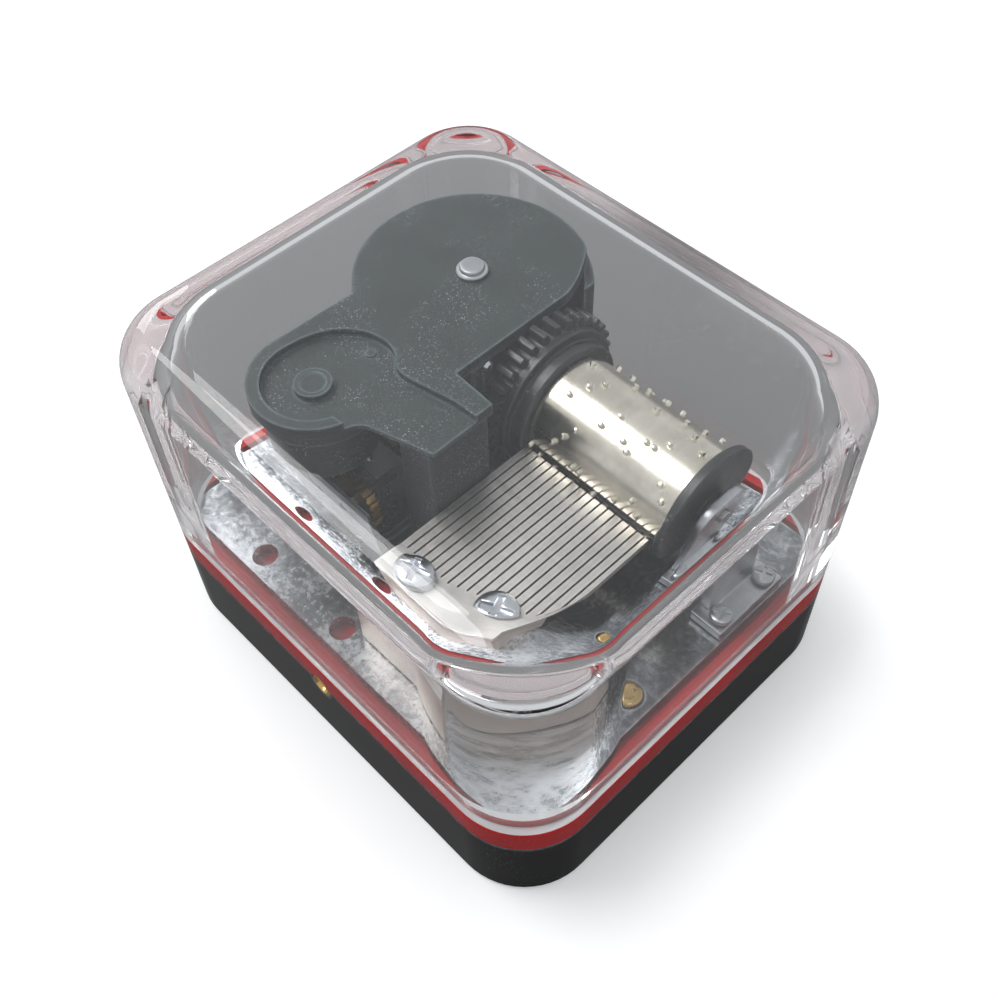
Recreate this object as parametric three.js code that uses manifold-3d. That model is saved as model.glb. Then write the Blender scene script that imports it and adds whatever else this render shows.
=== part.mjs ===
// Cylinder music box: an 18-note wind-up movement under a clear lift-off cover, on a two-part base.
// Millimetres, +Z up. Origin: centre of the underside. +X runs along the comb, -Y is the comb's side.
import * as THREE from 'three';
import { mergeVertices } from 'three/addons/utils/BufferGeometryUtils.js';
import Module from 'manifold-3d';

const wasm = await Module();
wasm.setup();

// ---- Case ----
const CASE = { width: 60, depth: 51.5, height: 42.4, corner: 8.3 };
const SKIRT = { height: 10.6, wall: 2.2, edge: 1.2 };
const DECK = { ledge: 14.0, floor: 13.6, lipTop: 15.3, lipWall: 1.0, lipFit: 0.15 };
const COVER = { wall: 2.5, top: 2.6, edge: 4.6, seatGap: 0.1 };
const LUG = { radius: 3.4, bottom: 5.2, inset: 5.7 };
const BUSH = { height: 10.2, outer: 1.45, bore: 0.95, length: 3.2 };

// ---- Gaps between pieces ----
const SEAT = 0.1; // between a piece and what it stands on
const RUN = 0.05; // radial clearance of a shaft in its bearing
const PLAY = 0.3; // side clearance between neighbours

// ---- Bedplate ----
const PLATE = { width: 51.2, depth: 42.8, corner: 3, thickness: 1.6, pocketDepth: 0.6 };
const PLATE_LOW = DECK.floor + SEAT;
const PLATE_TOP = PLATE_LOW + PLATE.thickness;
const FOOT = PLATE_TOP + SEAT; // underside of what stands on the bedplate

// ---- Gear train ----
const BARREL = { x: -13.2, y: 10, drum: 7.9, wall: 0.7, flange: 11.5, flangeThickness: 1.1, height: 8.3 };
const CROWN = { teeth: 40, inner: 10.15, tooth: 0.9 };
const CYL = { z: 25.3, radius: 6.0, wall: 0.45, left: 1.1, length: 18.2 };
const CYL_GEAR = { teeth: 32, outer: 9.2, pitch: 8.6, root: 8.0, width: 2.2, left: -3.6 };
const PINION = { teeth: 8, module: (2 * CYL_GEAR.pitch) / CYL_GEAR.teeth };
const WHEEL = { teeth: 16, rise: 1.01, width: 1.0, y: -4.0 };
const LAST_PINION = { teeth: 8 };
const WORM_WHEEL = { teeth: 24, pitch: 3.2, addendum: 0.22, width: 1.1 };
const WORM = { x: -13.2, y: -11.4, pitch: 1.0, root: 0.72, outer: 1.2, low: 17.0, length: 5.8 };
const FLY = { radius: 4.3, low: 27.4, height: 4.0, vane: 1.0 };
const PIVOT = 0.5; // radius of the governor's shafts
const ARBOR = { radius: 1.6, hub: 2.4, top: 1.2, low: 3.4 };
const KEY = { span: 20, wing: 3.2, low: 1.0, high: 9.4, thickness: 1.4, hub: 2.8 };
const CYL_ARBOR = { radius: 0.8, left: -5.9, right: 23.4 };

// ---- Ratchet ----
const RATCHET = { teeth: 12, outer: 4.6, root: 3.7, low: 29.6, thickness: 1.2 };
const CLICK = { reach: 7.9, angle: 150, pin: 0.8, eye: 1.7 };

// ---- Housing ----
const HOUSING = { top: 34.9, roof: 1.4, lobeRoof: 2.5, wall: 1.05, radius: 12.8, flatX: -3.9 };
const LOBE = { x: -13.4, y: -11.0, radius: 6.8 };
const NOSE = { right: 1.5, postRight: 0.8, front: -8.9, back: -1.2 };
const SHROUD = { radius: 5.9, wall: 0.9, low: 27.0 };
const PANEL_DEPTH = 0.5;

// ---- Comb ----
const COMB = { left: 1.1, tines: 18, pitch: 0.972, slot: 0.2, top: 24.2, thickness: 1.0, back: -18.4 };
const SLOT_ROOT = { deepest: -13.7, level: 6, step: 0.36 };
const PIN = { radius: 0.22, height: 0.4, tipGap: 0.06 };
const BEATS = 60; // places around one turn of the cylinder
const TOP_BEAT = 15; // the beat whose pins stand on top at rest
const RIVET = { y: 3.0, drop: 1.9, shank: 0.38, head: 0.7 }; // by the gear, below the roof

// The beats at which each tine sounds, lowest note first.
const TUNE = [
  [1, 31, 46], [12, 33, 41, 56], [6, 19, 38, 49], [16, 27, 34, 44], [6, 14, 25, 52], [23, 36, 47, 58],
  [10, 3, 29, 40], [20, 29, 8, 50], [4, 17, 43, 55], [6, 32, 45, 57], [12, 20, 35, 2], [6, 21, 39, 53],
  [18, 29, 42, 48], [10, 18, 37, 59], [16, 27, 0, 51], [12, 29, 9, 54], [5, 22, 34, 43], [24, 14, 38, 50],
];

// ---- Fasteners: places in plan ----
const DECK_SCREWS = [[23.0, -6.0], [-23.2, -8.5], [18.0, 18.0]];
const HOUSING_SCREWS = [[-1.5, -5.1], [-22.6, -2.4], [-23.4, 18.6]];
const BLOCK_SCREWS = [[8.6, -15.6], [16.2, -15.2]];
const COMB_SCREWS = [[5.0, -15.8], [13.7, -12.9]];
const BRACKET_SCREWS = [[24.1, 6.6], [24.1, 13.4]];
const SPARE_HOLES = [[-14.0, -19.2], [-1.0, -19.2]];

const finishes = {
  glossBlack: { color: 0x101114, roughness: 0.12, metalness: 0 },
  glossRed: { color: 0x9c1a1c, roughness: 0.2, metalness: 0 },
  clear: { color: 0xf2f4f5, roughness: 0.03, metalness: 0, transparent: true, opacity: 0.3 },
  blackPlastic: { color: 0x2a2f30, roughness: 0.6, metalness: 0 },
  zinc: { color: 0xb4b8ba, roughness: 0.4, metalness: 1 },
  steel: { color: 0xa8a6a2, roughness: 0.35, metalness: 1 },
  nickel: { color: 0xc9c3b4, roughness: 0.25, metalness: 1 },
  brass: { color: 0xc9a44c, roughness: 0.3, metalness: 1 },
  springSteel: { color: 0x55585e, roughness: 0.35, metalness: 1 },
};

const musicBox = new THREE.Group();

function addPiece(name, shape, finish, parent = musicBox) {
  const geometry = shape.isBufferGeometry ? shape : toGeometry(shape);
  const material = new THREE.MeshStandardMaterial(finishes[finish]);
  const mesh = new THREE.Mesh(geometry, material);
  mesh.name = name;
  parent.add(mesh);
  return mesh;
}

// ---- Solids ----
function toSolid(geometry) {
  const bare = geometry.clone();
  bare.deleteAttribute('normal');
  bare.deleteAttribute('uv');
  const merged = mergeVertices(bare, 1e-5);
  const corners = Array.from(merged.index.array);
  const kept = [];
  for (let i = 0; i < corners.length; i += 3) {
    const [a, b, c] = corners.slice(i, i + 3);
    if (a !== b && b !== c && c !== a) kept.push(a, b, c);
  }
  const vertProperties = new Float32Array(merged.attributes.position.array);
  return new wasm.Manifold(new wasm.Mesh({ numProp: 3, vertProperties, triVerts: new Uint32Array(kept) }));
}

function toGeometry(solid) {
  const mesh = solid.getMesh();
  const geometry = new THREE.BufferGeometry();
  geometry.setAttribute('position', new THREE.BufferAttribute(new Float32Array(mesh.vertProperties), 3));
  geometry.setIndex(Array.from(mesh.triVerts));
  geometry.computeVertexNormals();
  return geometry;
}

const join = (first, ...others) => others.reduce((sum, next) => sum.add(next), first);
const cut = (first, ...others) => others.reduce((rest, next) => rest.subtract(next), first);

function outline(points) {
  const shape = new THREE.Shape();
  points.forEach(([x, y], i) => (i ? shape.lineTo(x, y) : shape.moveTo(x, y)));
  shape.closePath();
  return shape;
}

function roundedRect(width, depth, radius) {
  const x = width / 2 - radius;
  const y = depth / 2 - radius;
  const shape = new THREE.Shape();
  shape.absarc(x, y, radius, 0, Math.PI / 2);
  shape.absarc(-x, y, radius, Math.PI / 2, Math.PI);
  shape.absarc(-x, -y, radius, Math.PI, 1.5 * Math.PI);
  shape.absarc(x, -y, radius, 1.5 * Math.PI, 2 * Math.PI);
  return shape;
}

function prism(shape, low, high, curveSegments = 5) {
  const settings = { depth: high - low, bevelEnabled: false, curveSegments };
  const geometry = new THREE.ExtrudeGeometry(shape, settings);
  return toSolid(geometry.translate(0, 0, low));
}

function block([x0, x1], [y0, y1], [z0, z1]) {
  const box = new THREE.BoxGeometry(x1 - x0, y1 - y0, z1 - z0);
  return toSolid(box.translate((x0 + x1) / 2, (y0 + y1) / 2, (z0 + z1) / 2));
}

function disc(radius, low, high, x = 0, y = 0, sides = 20) {
  const round = new THREE.CylinderGeometry(radius, radius, high - low, sides);
  return toSolid(round.rotateX(Math.PI / 2).translate(x, y, (low + high) / 2));
}

// Turned solid about +Z. The profile runs [radius, height] up the outside, axis to axis.
function turned(profile, sides = 20) {
  const points = profile.map(([r, z]) => new THREE.Vector2(r, z));
  return toSolid(new THREE.LatheGeometry(points, sides).rotateX(Math.PI / 2));
}

// A piece drawn along +Z is laid along +X or +Y, its axis through the given point.
const alongX = (solid, y, z) => solid.rotate([0, 90, 0]).translate([0, y, z]);
const alongY = (solid, x, z) => solid.rotate([-90, 0, 0]).translate([x, 0, z]);

// Rounded rectangle whose upper edge is rounded over.
function roundTopped(width, depth, corner, edge, low, high, segments = 5) {
  const shape = roundedRect(width - 2 * edge, depth - 2 * edge, Math.max(corner - edge, 0.4));
  const height = high - low + edge;
  const geometry = new THREE.ExtrudeGeometry(shape, {
    depth: height - edge, bevelThickness: edge, bevelSize: edge, bevelSegments: segments, curveSegments: 5,
  });
  const solid = toSolid(geometry.translate(0, 0, low - edge));
  return cut(solid, block([-width, width], [-depth, depth], [low - 3 * edge, low]));
}

function gearShape(teeth, root, outer, rootShare, tipShare) {
  const step = (2 * Math.PI) / teeth;
  const points = [];
  for (let i = 0; i < teeth; i += 1) {
    const corners = [[root, -rootShare], [outer, -tipShare], [outer, tipShare], [root, rootShare]];
    for (const [radius, share] of corners) {
      const angle = (i + share / 2) * step;
      points.push([radius * Math.cos(angle), radius * Math.sin(angle)]);
    }
  }
  return outline(points);
}

// Screw with its head below: the shank runs up from the head's upper face.
function screwFromBelow([x, y], headTop, shankTop, shank, head, headHeight) {
  const body = turned([
    [0, headTop - headHeight], [head, headTop - headHeight], [head, headTop],
    [shank, headTop], [shank, shankTop], [0, shankTop],
  ], 10);
  const slot = block([-head, head], [-0.25, 0.25], [headTop - headHeight - 1, headTop - headHeight / 2]);
  return cut(body, slot).translate([x, y, 0]);
}

function crossHeadScrew([x, y], seat, shankLow, shank, head, headHeight) {
  const top = seat + headHeight;
  const body = turned([
    [0, shankLow], [shank, shankLow], [shank, seat], [head, seat],
    [head, seat + headHeight / 2], [0.7 * head, top], [0, top],
  ], 10);
  const slots = [0, 90].map((turn) => (
    block([-0.75 * head, 0.75 * head], [-0.25, 0.25], [seat + headHeight / 2, top + 1]).rotate([0, 0, turn])
  ));
  return cut(body, ...slots).translate([x, y, 0]);
}

// ---- Base and cover ----
const lugPlaces = [-1, 1].flatMap((sx) => [-1, 1].map((sy) => (
  [sx * (CASE.width / 2 - LUG.inset), sy * (CASE.depth / 2 - LUG.inset)]
)));
const lipOutset = COVER.wall + DECK.lipFit;
const CASE_SCREW = { shank: 1.05, head: 2.0, headHeight: 1.5, depth: 1.6 };
const DECK_SCREW = { shank: 1.5, head: 2.7, headHeight: 1.5, proud: 0.6 };
const SMALL_SCREW = { shank: 0.9, head: 1.7, headHeight: 1.0, grip: 3.6 };

function insetRect(inset) {
  return roundedRect(CASE.width - 2 * inset, CASE.depth - 2 * inset, Math.max(CASE.corner - inset, 0.5));
}

function bushHole() {
  const hole = disc(BUSH.outer + RUN, -CASE.depth / 2 - 1, -CASE.depth / 2 + BUSH.length + RUN);
  return alongY(hole, 0, BUSH.height);
}

function baseSkirt() {
  const flipped = roundTopped(CASE.width, CASE.depth, CASE.corner, SKIRT.edge, 0, SKIRT.height, 3);
  const outer = flipped.rotate([180, 0, 0]).translate([0, 0, SKIRT.height]);
  const shell = cut(outer, prism(insetRect(SKIRT.wall), -1, SKIRT.height + 1));
  const within = prism(insetRect(SKIRT.wall / 2), LUG.bottom, SKIRT.height);
  const lugs = lugPlaces.map(([x, y]) => disc(LUG.radius, LUG.bottom, SKIRT.height, x, y).intersect(within));
  const holes = lugPlaces.map(([x, y]) => disc(CASE_SCREW.shank + RUN, 0, SKIRT.height + 1, x, y, 10));
  return cut(join(shell, ...lugs), ...holes, bushHole());
}

function baseDeck() {
  const low = SKIRT.height + SEAT / 2;
  const slab = prism(insetRect(0), low, DECK.ledge);
  const lip = prism(insetRect(lipOutset), low, DECK.lipTop);
  const well = prism(insetRect(lipOutset + DECK.lipWall), DECK.floor, DECK.lipTop + 1);
  const screwHoles = DECK_SCREWS.map(([x, y]) => (
    disc(DECK_SCREW.shank + RUN, low - 1, DECK.floor + 1, x, y, 10)
  ));
  const caseHoles = lugPlaces.map(([x, y]) => (
    disc(CASE_SCREW.shank + RUN, low - 1, low + CASE_SCREW.depth + RUN, x, y, 10)
  ));
  const headPockets = [...HOUSING_SCREWS, ...BLOCK_SCREWS].map(([x, y]) => (
    disc(SMALL_SCREW.head + PLAY, DECK.floor - SMALL_SCREW.headHeight - PLAY, DECK.floor + 1, x, y, 10)
  ));
  const arborHole = disc(ARBOR.radius + PLAY, low - 1, DECK.floor + 1, BARREL.x, BARREL.y);
  return cut(join(slab, lip), well, ...screwHoles, ...caseHoles, ...headPockets, arborHole, bushHole());
}

function clearCover() {
  const low = DECK.ledge + COVER.seatGap;
  const outer = roundTopped(CASE.width, CASE.depth, CASE.corner, COVER.edge, low, CASE.height, 4);
  const inner = roundTopped(
    CASE.width - 2 * COVER.wall, CASE.depth - 2 * COVER.wall, CASE.corner - COVER.wall,
    COVER.edge - COVER.wall, low - 1, CASE.height - COVER.top, 3,
  );
  return cut(outer, inner);
}

function eyeletBush() {
  const front = -CASE.depth / 2;
  const bush = turned([
    [BUSH.bore, front], [BUSH.outer, front], [BUSH.outer, front + BUSH.length],
    [BUSH.bore, front + BUSH.length], [BUSH.bore, front],
  ]);
  return alongY(bush, 0, BUSH.height);
}

addPiece('base_skirt', baseSkirt(), 'glossBlack');
addPiece('base_deck', baseDeck(), 'glossRed');
addPiece('clear_cover', clearCover(), 'clear');
addPiece('brass_bush', eyeletBush(), 'brass');
lugPlaces.forEach((place, i) => {
  const top = SKIRT.height + CASE_SCREW.depth;
  const { shank, head, headHeight } = CASE_SCREW;
  const screw = screwFromBelow(place, LUG.bottom, top, shank, head, headHeight);
  addPiece(`case_screw_${i + 1}`, screw, 'steel');
});

// ---- Bedplate and what stands on it ----
function bedplate() {
  const plate = prism(roundedRect(PLATE.width, PLATE.depth, PLATE.corner), PLATE_LOW, PLATE_TOP);
  const pocketLow = PLATE_TOP - PLATE.pocketDepth;
  const pocket = disc(BARREL.flange + PLAY, pocketLow, PLATE_TOP + 1, BARREL.x, BARREL.y, 40);
  const bearing = disc(ARBOR.radius + RUN, PLATE_LOW - 1, PLATE_TOP + 1, BARREL.x, BARREL.y);
  const through = (radius) => ([x, y]) => disc(radius, PLATE_LOW - 1, PLATE_TOP + 1, x, y, 10);
  const deckHoles = DECK_SCREWS.map(through(DECK_SCREW.shank + RUN));
  const smallPlaces = [...HOUSING_SCREWS, ...BLOCK_SCREWS, ...BRACKET_SCREWS];
  const smallHoles = smallPlaces.map(through(SMALL_SCREW.shank + RUN));
  const spare = SPARE_HOLES.map(through(1.4));
  return cut(plate, pocket, bearing, ...deckHoles, ...smallHoles, ...spare);
}

addPiece('bedplate', bedplate(), 'zinc');
DECK_SCREWS.forEach((place, i) => {
  const tip = PLATE_TOP + DECK_SCREW.proud;
  const seat = SKIRT.height - SEAT / 2;
  const screw = screwFromBelow(place, seat, tip, DECK_SCREW.shank, DECK_SCREW.head, DECK_SCREW.headHeight);
  addPiece(`deck_screw_${i + 1}`, screw, 'brass');
});

// ---- Mainspring barrel, winding arbor, key and ratchet ----
const FLANGE_LOW = PLATE_TOP - PLATE.pocketDepth + 2 * SEAT;
const FLANGE_TOP = FLANGE_LOW + BARREL.flangeThickness;
const DRUM_TOP = FLANGE_LOW + BARREL.height;
const LID = { thickness: 0.7, spigot: 0.6 };
const bore = ARBOR.radius + RUN;
const degrees = (value) => (value * Math.PI) / 180;
const polar = (radius, angle) => [radius * Math.cos(degrees(angle)), radius * Math.sin(degrees(angle))];
const clickPlace = polar(CLICK.reach, CLICK.angle).map((value, i) => value + [BARREL.x, BARREL.y][i]);

function barrelDrum() {
  const inner = BARREL.drum - BARREL.wall;
  const drumLip = DRUM_TOP - LID.thickness;
  const body = turned([
    [bore, FLANGE_LOW], [BARREL.flange, FLANGE_LOW], [BARREL.flange, FLANGE_TOP], [BARREL.drum, FLANGE_TOP],
    [BARREL.drum, drumLip], [inner, drumLip], [inner, FLANGE_TOP], [bore, FLANGE_TOP], [bore, FLANGE_LOW],
  ], 40);
  const crown = [];
  for (let i = 0; i < CROWN.teeth; i += 1) {
    crown.push(crownTooth().rotate([0, 0, (i * 360) / CROWN.teeth]));
  }
  return join(body, ...crown).translate([BARREL.x, BARREL.y, 0]);
}

// One tooth of the crown ring, standing on the flange: a radial bar that narrows upwards.
function crownTooth() {
  const base = 0.27;
  const tip = 0.1;
  const section = outline([[-base, -0.1], [base, -0.1], [tip, CROWN.tooth], [-tip, CROWN.tooth]]);
  const depth = BARREL.flange - 0.05 - CROWN.inner;
  const bar = new THREE.ExtrudeGeometry(section, { depth, bevelEnabled: false });
  bar.rotateX(Math.PI / 2).rotateZ(Math.PI / 2);
  return toSolid(bar.translate(CROWN.inner, 0, FLANGE_TOP));
}

function barrelLid() {
  const low = DRUM_TOP - LID.thickness + SEAT / 2;
  const inner = BARREL.drum - BARREL.wall - RUN;
  return turned([
    [bore, low - LID.spigot], [inner, low - LID.spigot], [inner, low], [BARREL.drum, low],
    [BARREL.drum, DRUM_TOP], [bore, DRUM_TOP], [bore, low - LID.spigot],
  ], 32).translate([BARREL.x, BARREL.y, 0]);
}

// Flat steel ribbon wound as a spiral from the arbor's hub out to the drum's wall.
function mainspring() {
  const turns = 5;
  const steps = turns * 16;
  const ribbon = 0.3;
  const start = ARBOR.hub + 0.15;
  const end = BARREL.drum - BARREL.wall - ribbon - 0.15;
  const edge = (offset) => Array.from({ length: steps + 1 }, (_, i) => {
    const radius = start + ((end - start) * i) / steps + offset;
    const angle = (2 * Math.PI * turns * i) / steps;
    return [radius * Math.cos(angle), radius * Math.sin(angle)];
  });
  const ring = [...edge(ribbon), ...edge(0).reverse()];
  const top = DRUM_TOP - LID.thickness - LID.spigot - PLAY;
  return prism(outline(ring), FLANGE_TOP + PLAY, top).translate([BARREL.x, BARREL.y, 0]);
}

function windingArbor() {
  const hubTop = DRUM_TOP - LID.thickness - LID.spigot - 0.05;
  const shoulder = HOUSING.top - HOUSING.roof - PLAY;
  return turned([
    [0, ARBOR.low], [ARBOR.radius, ARBOR.low],
    [ARBOR.radius, FLANGE_TOP + 0.05], [ARBOR.hub, FLANGE_TOP + 0.05],
    [ARBOR.hub, hubTop], [ARBOR.radius, hubTop], [ARBOR.radius, shoulder],
    [ARBOR.top, shoulder], [ARBOR.top, HOUSING.top + SEAT], [0, HOUSING.top + SEAT],
  ]).translate([BARREL.x, BARREL.y, 0]);
}

function arborCap() {
  const low = HOUSING.top + SEAT + 0.02;
  return turned([
    [0, low], [1.7, low], [1.7, low + 0.35], [1.35, low + 0.5],
    [1.35, low + 0.8], [1.2, low + 0.9], [0, low + 0.9],
  ]).translate([BARREL.x, BARREL.y, 0]);
}

function windingKey() {
  const { span, wing, low, high, thickness, hub } = KEY;
  const barrel = disc(hub, low + 0.9, high);
  const shape = new THREE.Shape();
  shape.absarc(-(span / 2 - wing), low + wing, wing, 1.5 * Math.PI, 0.5 * Math.PI, true);
  shape.lineTo(0, low + 1.6 * wing);
  shape.absarc(span / 2 - wing, low + wing, wing, 0.5 * Math.PI, -0.5 * Math.PI, true);
  shape.closePath();
  const flat = new THREE.ExtrudeGeometry(shape, { depth: thickness, bevelEnabled: false, curveSegments: 8 });
  const wings = toSolid(flat.translate(0, 0, -thickness / 2).rotateX(Math.PI / 2));
  const socket = disc(bore, ARBOR.low - SEAT, high + 1);
  return cut(join(barrel, wings), socket).translate([BARREL.x, BARREL.y, 0]);
}

function ratchetWheel() {
  const step = (2 * Math.PI) / RATCHET.teeth;
  const points = [];
  for (let i = 0; i < RATCHET.teeth; i += 1) {
    points.push([RATCHET.root * Math.cos(i * step), RATCHET.root * Math.sin(i * step)]);
    points.push([RATCHET.outer * Math.cos(i * step), RATCHET.outer * Math.sin(i * step)]);
  }
  const wheel = prism(outline(points), RATCHET.low, RATCHET.low + RATCHET.thickness);
  const hole = disc(bore, RATCHET.low - 1, RATCHET.low + RATCHET.thickness + 1);
  return cut(wheel, hole).translate([BARREL.x, BARREL.y, 0]);
}

// Pawl whose tip stands behind a tooth and whose arm curves clear of the wheel.
function clickPawl() {
  const { root, outer, low, thickness } = RATCHET;
  const arm = outline([
    polar(root + 0.25, 208.4), polar(outer + 0.3, 208.2), polar(outer + 2.1, 188),
    polar(CLICK.reach + 0.5, 160), polar(CLICK.reach - 1.0, 146), polar(outer + 0.55, 172),
    polar(outer + 0.35, 182), polar(outer - 0.25, 199),
  ]);
  const [x, y] = polar(CLICK.reach, CLICK.angle);
  const body = join(prism(arm, low, low + thickness), disc(CLICK.eye, low, low + thickness, x, y));
  const eye = disc(CLICK.pin + RUN, low - 1, low + thickness + 1, x, y);
  return cut(body, eye).translate([BARREL.x, BARREL.y, 0]);
}

function clickPin() {
  const low = RATCHET.low - 0.9;
  return turned([
    [0, low], [1.3, low], [1.3, low + 0.6], [CLICK.pin, low + 0.6],
    [CLICK.pin, HOUSING.top - 1.0], [0, HOUSING.top - 1.0],
  ], 10).translate([...clickPlace, 0]);
}

addPiece('barrel_drum', barrelDrum(), 'zinc');
addPiece('barrel_lid', barrelLid(), 'zinc');
addPiece('mainspring', mainspring(), 'springSteel');
addPiece('winding_arbor', windingArbor(), 'steel');
addPiece('arbor_cap', arborCap(), 'zinc');
addPiece('winding_key', windingKey(), 'brass');
addPiece('ratchet_wheel', ratchetWheel(), 'steel');
addPiece('click_pawl', clickPawl(), 'steel');
addPiece('click_pin', clickPin(), 'steel');

// ---- Movement housing ----
const ROOF_LOW = HOUSING.top - HOUSING.roof;
const MESH_WINDOW = FLANGE_TOP + CROWN.tooth + PLAY;
const GOV = {
  rear: -2.95, middle: -6.4, front: -14.2, cheek: 0.8, left: -18.4, right: -4.2, top: 23.4, rail: 17.0,
};

function roofOutline() {
  const shape = new THREE.Shape();
  shape.moveTo(NOSE.right, NOSE.back);
  shape.lineTo(NOSE.right, NOSE.front);
  shape.lineTo(-5.0, -10.8);
  shape.quadraticCurveTo(-6.4, -11.2, -6.8, -12.6);
  shape.absarc(LOBE.x, LOBE.y, LOBE.radius, degrees(-14), degrees(-176), true);
  shape.absarc(BARREL.x, BARREL.y, HOUSING.radius - 0.2, degrees(-121.3), degrees(-298), true);
  shape.quadraticCurveTo(HOUSING.flatX - 0.6, BARREL.y + 7.6, HOUSING.flatX, BARREL.y + 4.6);
  shape.lineTo(HOUSING.flatX, NOSE.back + 0.3);
  shape.closePath();
  return shape;
}

function panelOutline() {
  const shape = new THREE.Shape();
  shape.moveTo(NOSE.right + 1, -3.3);
  shape.lineTo(NOSE.right + 1, NOSE.front - 1.6);
  shape.lineTo(-5.4, -12.6);
  shape.absarc(LOBE.x + 0.1, LOBE.y - 0.1, LOBE.radius - 1.4, degrees(-20), degrees(-180), true);
  shape.quadraticCurveTo(-18.6, -5.4, -14.4, -3.4);
  shape.quadraticCurveTo(-11.2, -2.2, -9.4, -4.0);
  shape.quadraticCurveTo(-8.4, -4.9, -6.8, -4.6);
  shape.lineTo(-1.4, -3.5);
  shape.closePath();
  return shape;
}

// The round wall about the barrel, flattened where the cylinder's gear stands beside it.
function barrelWall() {
  const ring = cut(
    disc(HOUSING.radius, FOOT, ROOF_LOW + 0.2, BARREL.x, BARREL.y, 36),
    disc(HOUSING.radius - HOUSING.wall, FOOT - 1, ROOF_LOW + 1, BARREL.x, BARREL.y, 36),
    block([HOUSING.flatX, 10], [-20, 40], [0, 60]),
  );
  const half = Math.sqrt(HOUSING.radius ** 2 - (HOUSING.flatX - BARREL.x) ** 2) - 0.2;
  const flat = block(
    [HOUSING.flatX - HOUSING.wall, HOUSING.flatX], [BARREL.y - half, BARREL.y + half], [FOOT, ROOF_LOW + 0.2],
  );
  const boss = disc(1.8, CYL_ARBOR.left - 0.1, HOUSING.flatX - HOUSING.wall / 2, 0, 0, 20);
  return join(ring, flat, alongX(boss, BARREL.y, CYL.z));
}

function housingOpenings() {
  const meshWindow = block(
    [HOUSING.flatX - 2.2, HOUSING.flatX + 1], [BARREL.y - 8.4, BARREL.y + 8.4], [FOOT - 1, MESH_WINDOW],
  );
  const trainWindow = block(
    [GOV.left - PLAY, GOV.right + PLAY], [GOV.rear - 1, GOV.rear + 4], [FOOT - 1, GOV.top + PLAY],
  );
  const bearing = alongX(disc(CYL_ARBOR.radius + RUN, CYL_ARBOR.left - 1, 0, 0, 0, 10), BARREL.y, CYL.z);
  const rivetHole = alongX(disc(RIVET.shank + RUN, -6, 0, 0, 0, 10), RIVET.y, HOUSING.top - RIVET.drop);
  const arborHole = disc(ARBOR.top + RUN, ROOF_LOW - 1, HOUSING.top + 1, BARREL.x, BARREL.y, 24);
  const clickHole = disc(CLICK.pin + RUN, 0, HOUSING.top - 1.0 + RUN, ...clickPlace, 10);
  const wormHole = disc(PIVOT + RUN, 20, HOUSING.top - 1.0, WORM.x, WORM.y, 10);
  const screwHoles = HOUSING_SCREWS.map(([x, y]) => (
    disc(SMALL_SCREW.shank + RUN, FOOT - 1, PLATE_LOW + SMALL_SCREW.grip + 2.4, x, y, 10)
  ));
  const nosePocket = block(
    [HOUSING.flatX + HOUSING.wall, NOSE.postRight - HOUSING.wall],
    [NOSE.front + HOUSING.wall, NOSE.back - HOUSING.wall], [FOOT - 1, ROOF_LOW - 0.4],
  );
  const noseBoss = disc(1.6, FOOT, ROOF_LOW, ...HOUSING_SCREWS[0], 10);
  return [
    meshWindow, trainWindow, bearing, rivetHole, arborHole, clickHole, wormHole,
    cut(nosePocket, noseBoss), ...screwHoles,
  ];
}

function movementHousing() {
  const roof = prism(roofOutline(), ROOF_LOW, HOUSING.top, 10);
  const panel = prism(panelOutline(), HOUSING.top - PANEL_DEPTH, HOUSING.top + 1, 8);
  const lobeLow = HOUSING.top - HOUSING.lobeRoof;
  const lobe = disc(LOBE.radius, lobeLow, HOUSING.top - PANEL_DEPTH - 0.1, LOBE.x, LOBE.y, 32);
  const shroud = cut(
    disc(SHROUD.radius, SHROUD.low, ROOF_LOW, WORM.x, WORM.y, 32),
    disc(SHROUD.radius - SHROUD.wall, SHROUD.low - 1, lobeLow, WORM.x, WORM.y, 32),
  );
  const nose = block([HOUSING.flatX, NOSE.postRight], [NOSE.front, NOSE.back], [FOOT, ROOF_LOW + 0.2]);
  const sideWall = block([-20.0, -19.0], [LOBE.y, -0.6], [FOOT, ROOF_LOW + 0.2]);
  const fin = block([-23.0, -19.4], [-2.4, -1.4], [FOOT, 30]);
  const ears = HOUSING_SCREWS.slice(1).map(([x, y]) => disc(1.9, FOOT, FOOT + 3.2, x, y, 20));
  const clickBoss = disc(1.9, RATCHET.low + RATCHET.thickness + PLAY, ROOF_LOW + 0.2, ...clickPlace, 20);
  const bossTop = disc(1.95, ROOF_LOW, HOUSING.top, WORM.x + 0.1, WORM.y - 0.1, 24);
  const dot = disc(0.6, ROOF_LOW, HOUSING.top - PANEL_DEPTH + 0.15, -12.6, -4.6, 12);
  const inside = disc(BARREL.flange + 0.25, FOOT - 1, FOOT + 3.4, BARREL.x, BARREL.y, 36);
  const earsOutside = ears.map((ear) => ear.subtract(inside));
  const walls = [shroud, nose, sideWall, fin, barrelWall(), ...earsOutside, clickBoss];
  const shell = join(cut(roof, panel), lobe, ...walls);
  return cut(join(shell, bossTop, dot), ...housingOpenings());
}

// Small rivet through the flat wall, its head beside the gear.
function housingRivet() {
  const { shank, head } = RIVET;
  const grip = HOUSING.wall + RUN;
  const rivet = turned([
    [0, 0], [shank, 0], [shank, grip], [head, grip],
    [head, grip + 0.2], [head - 0.25, grip + 0.5], [0, grip + 0.5],
  ], 10);
  return alongX(rivet, RIVET.y, HOUSING.top - RIVET.drop).translate([HOUSING.flatX - HOUSING.wall, 0, 0]);
}

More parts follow.
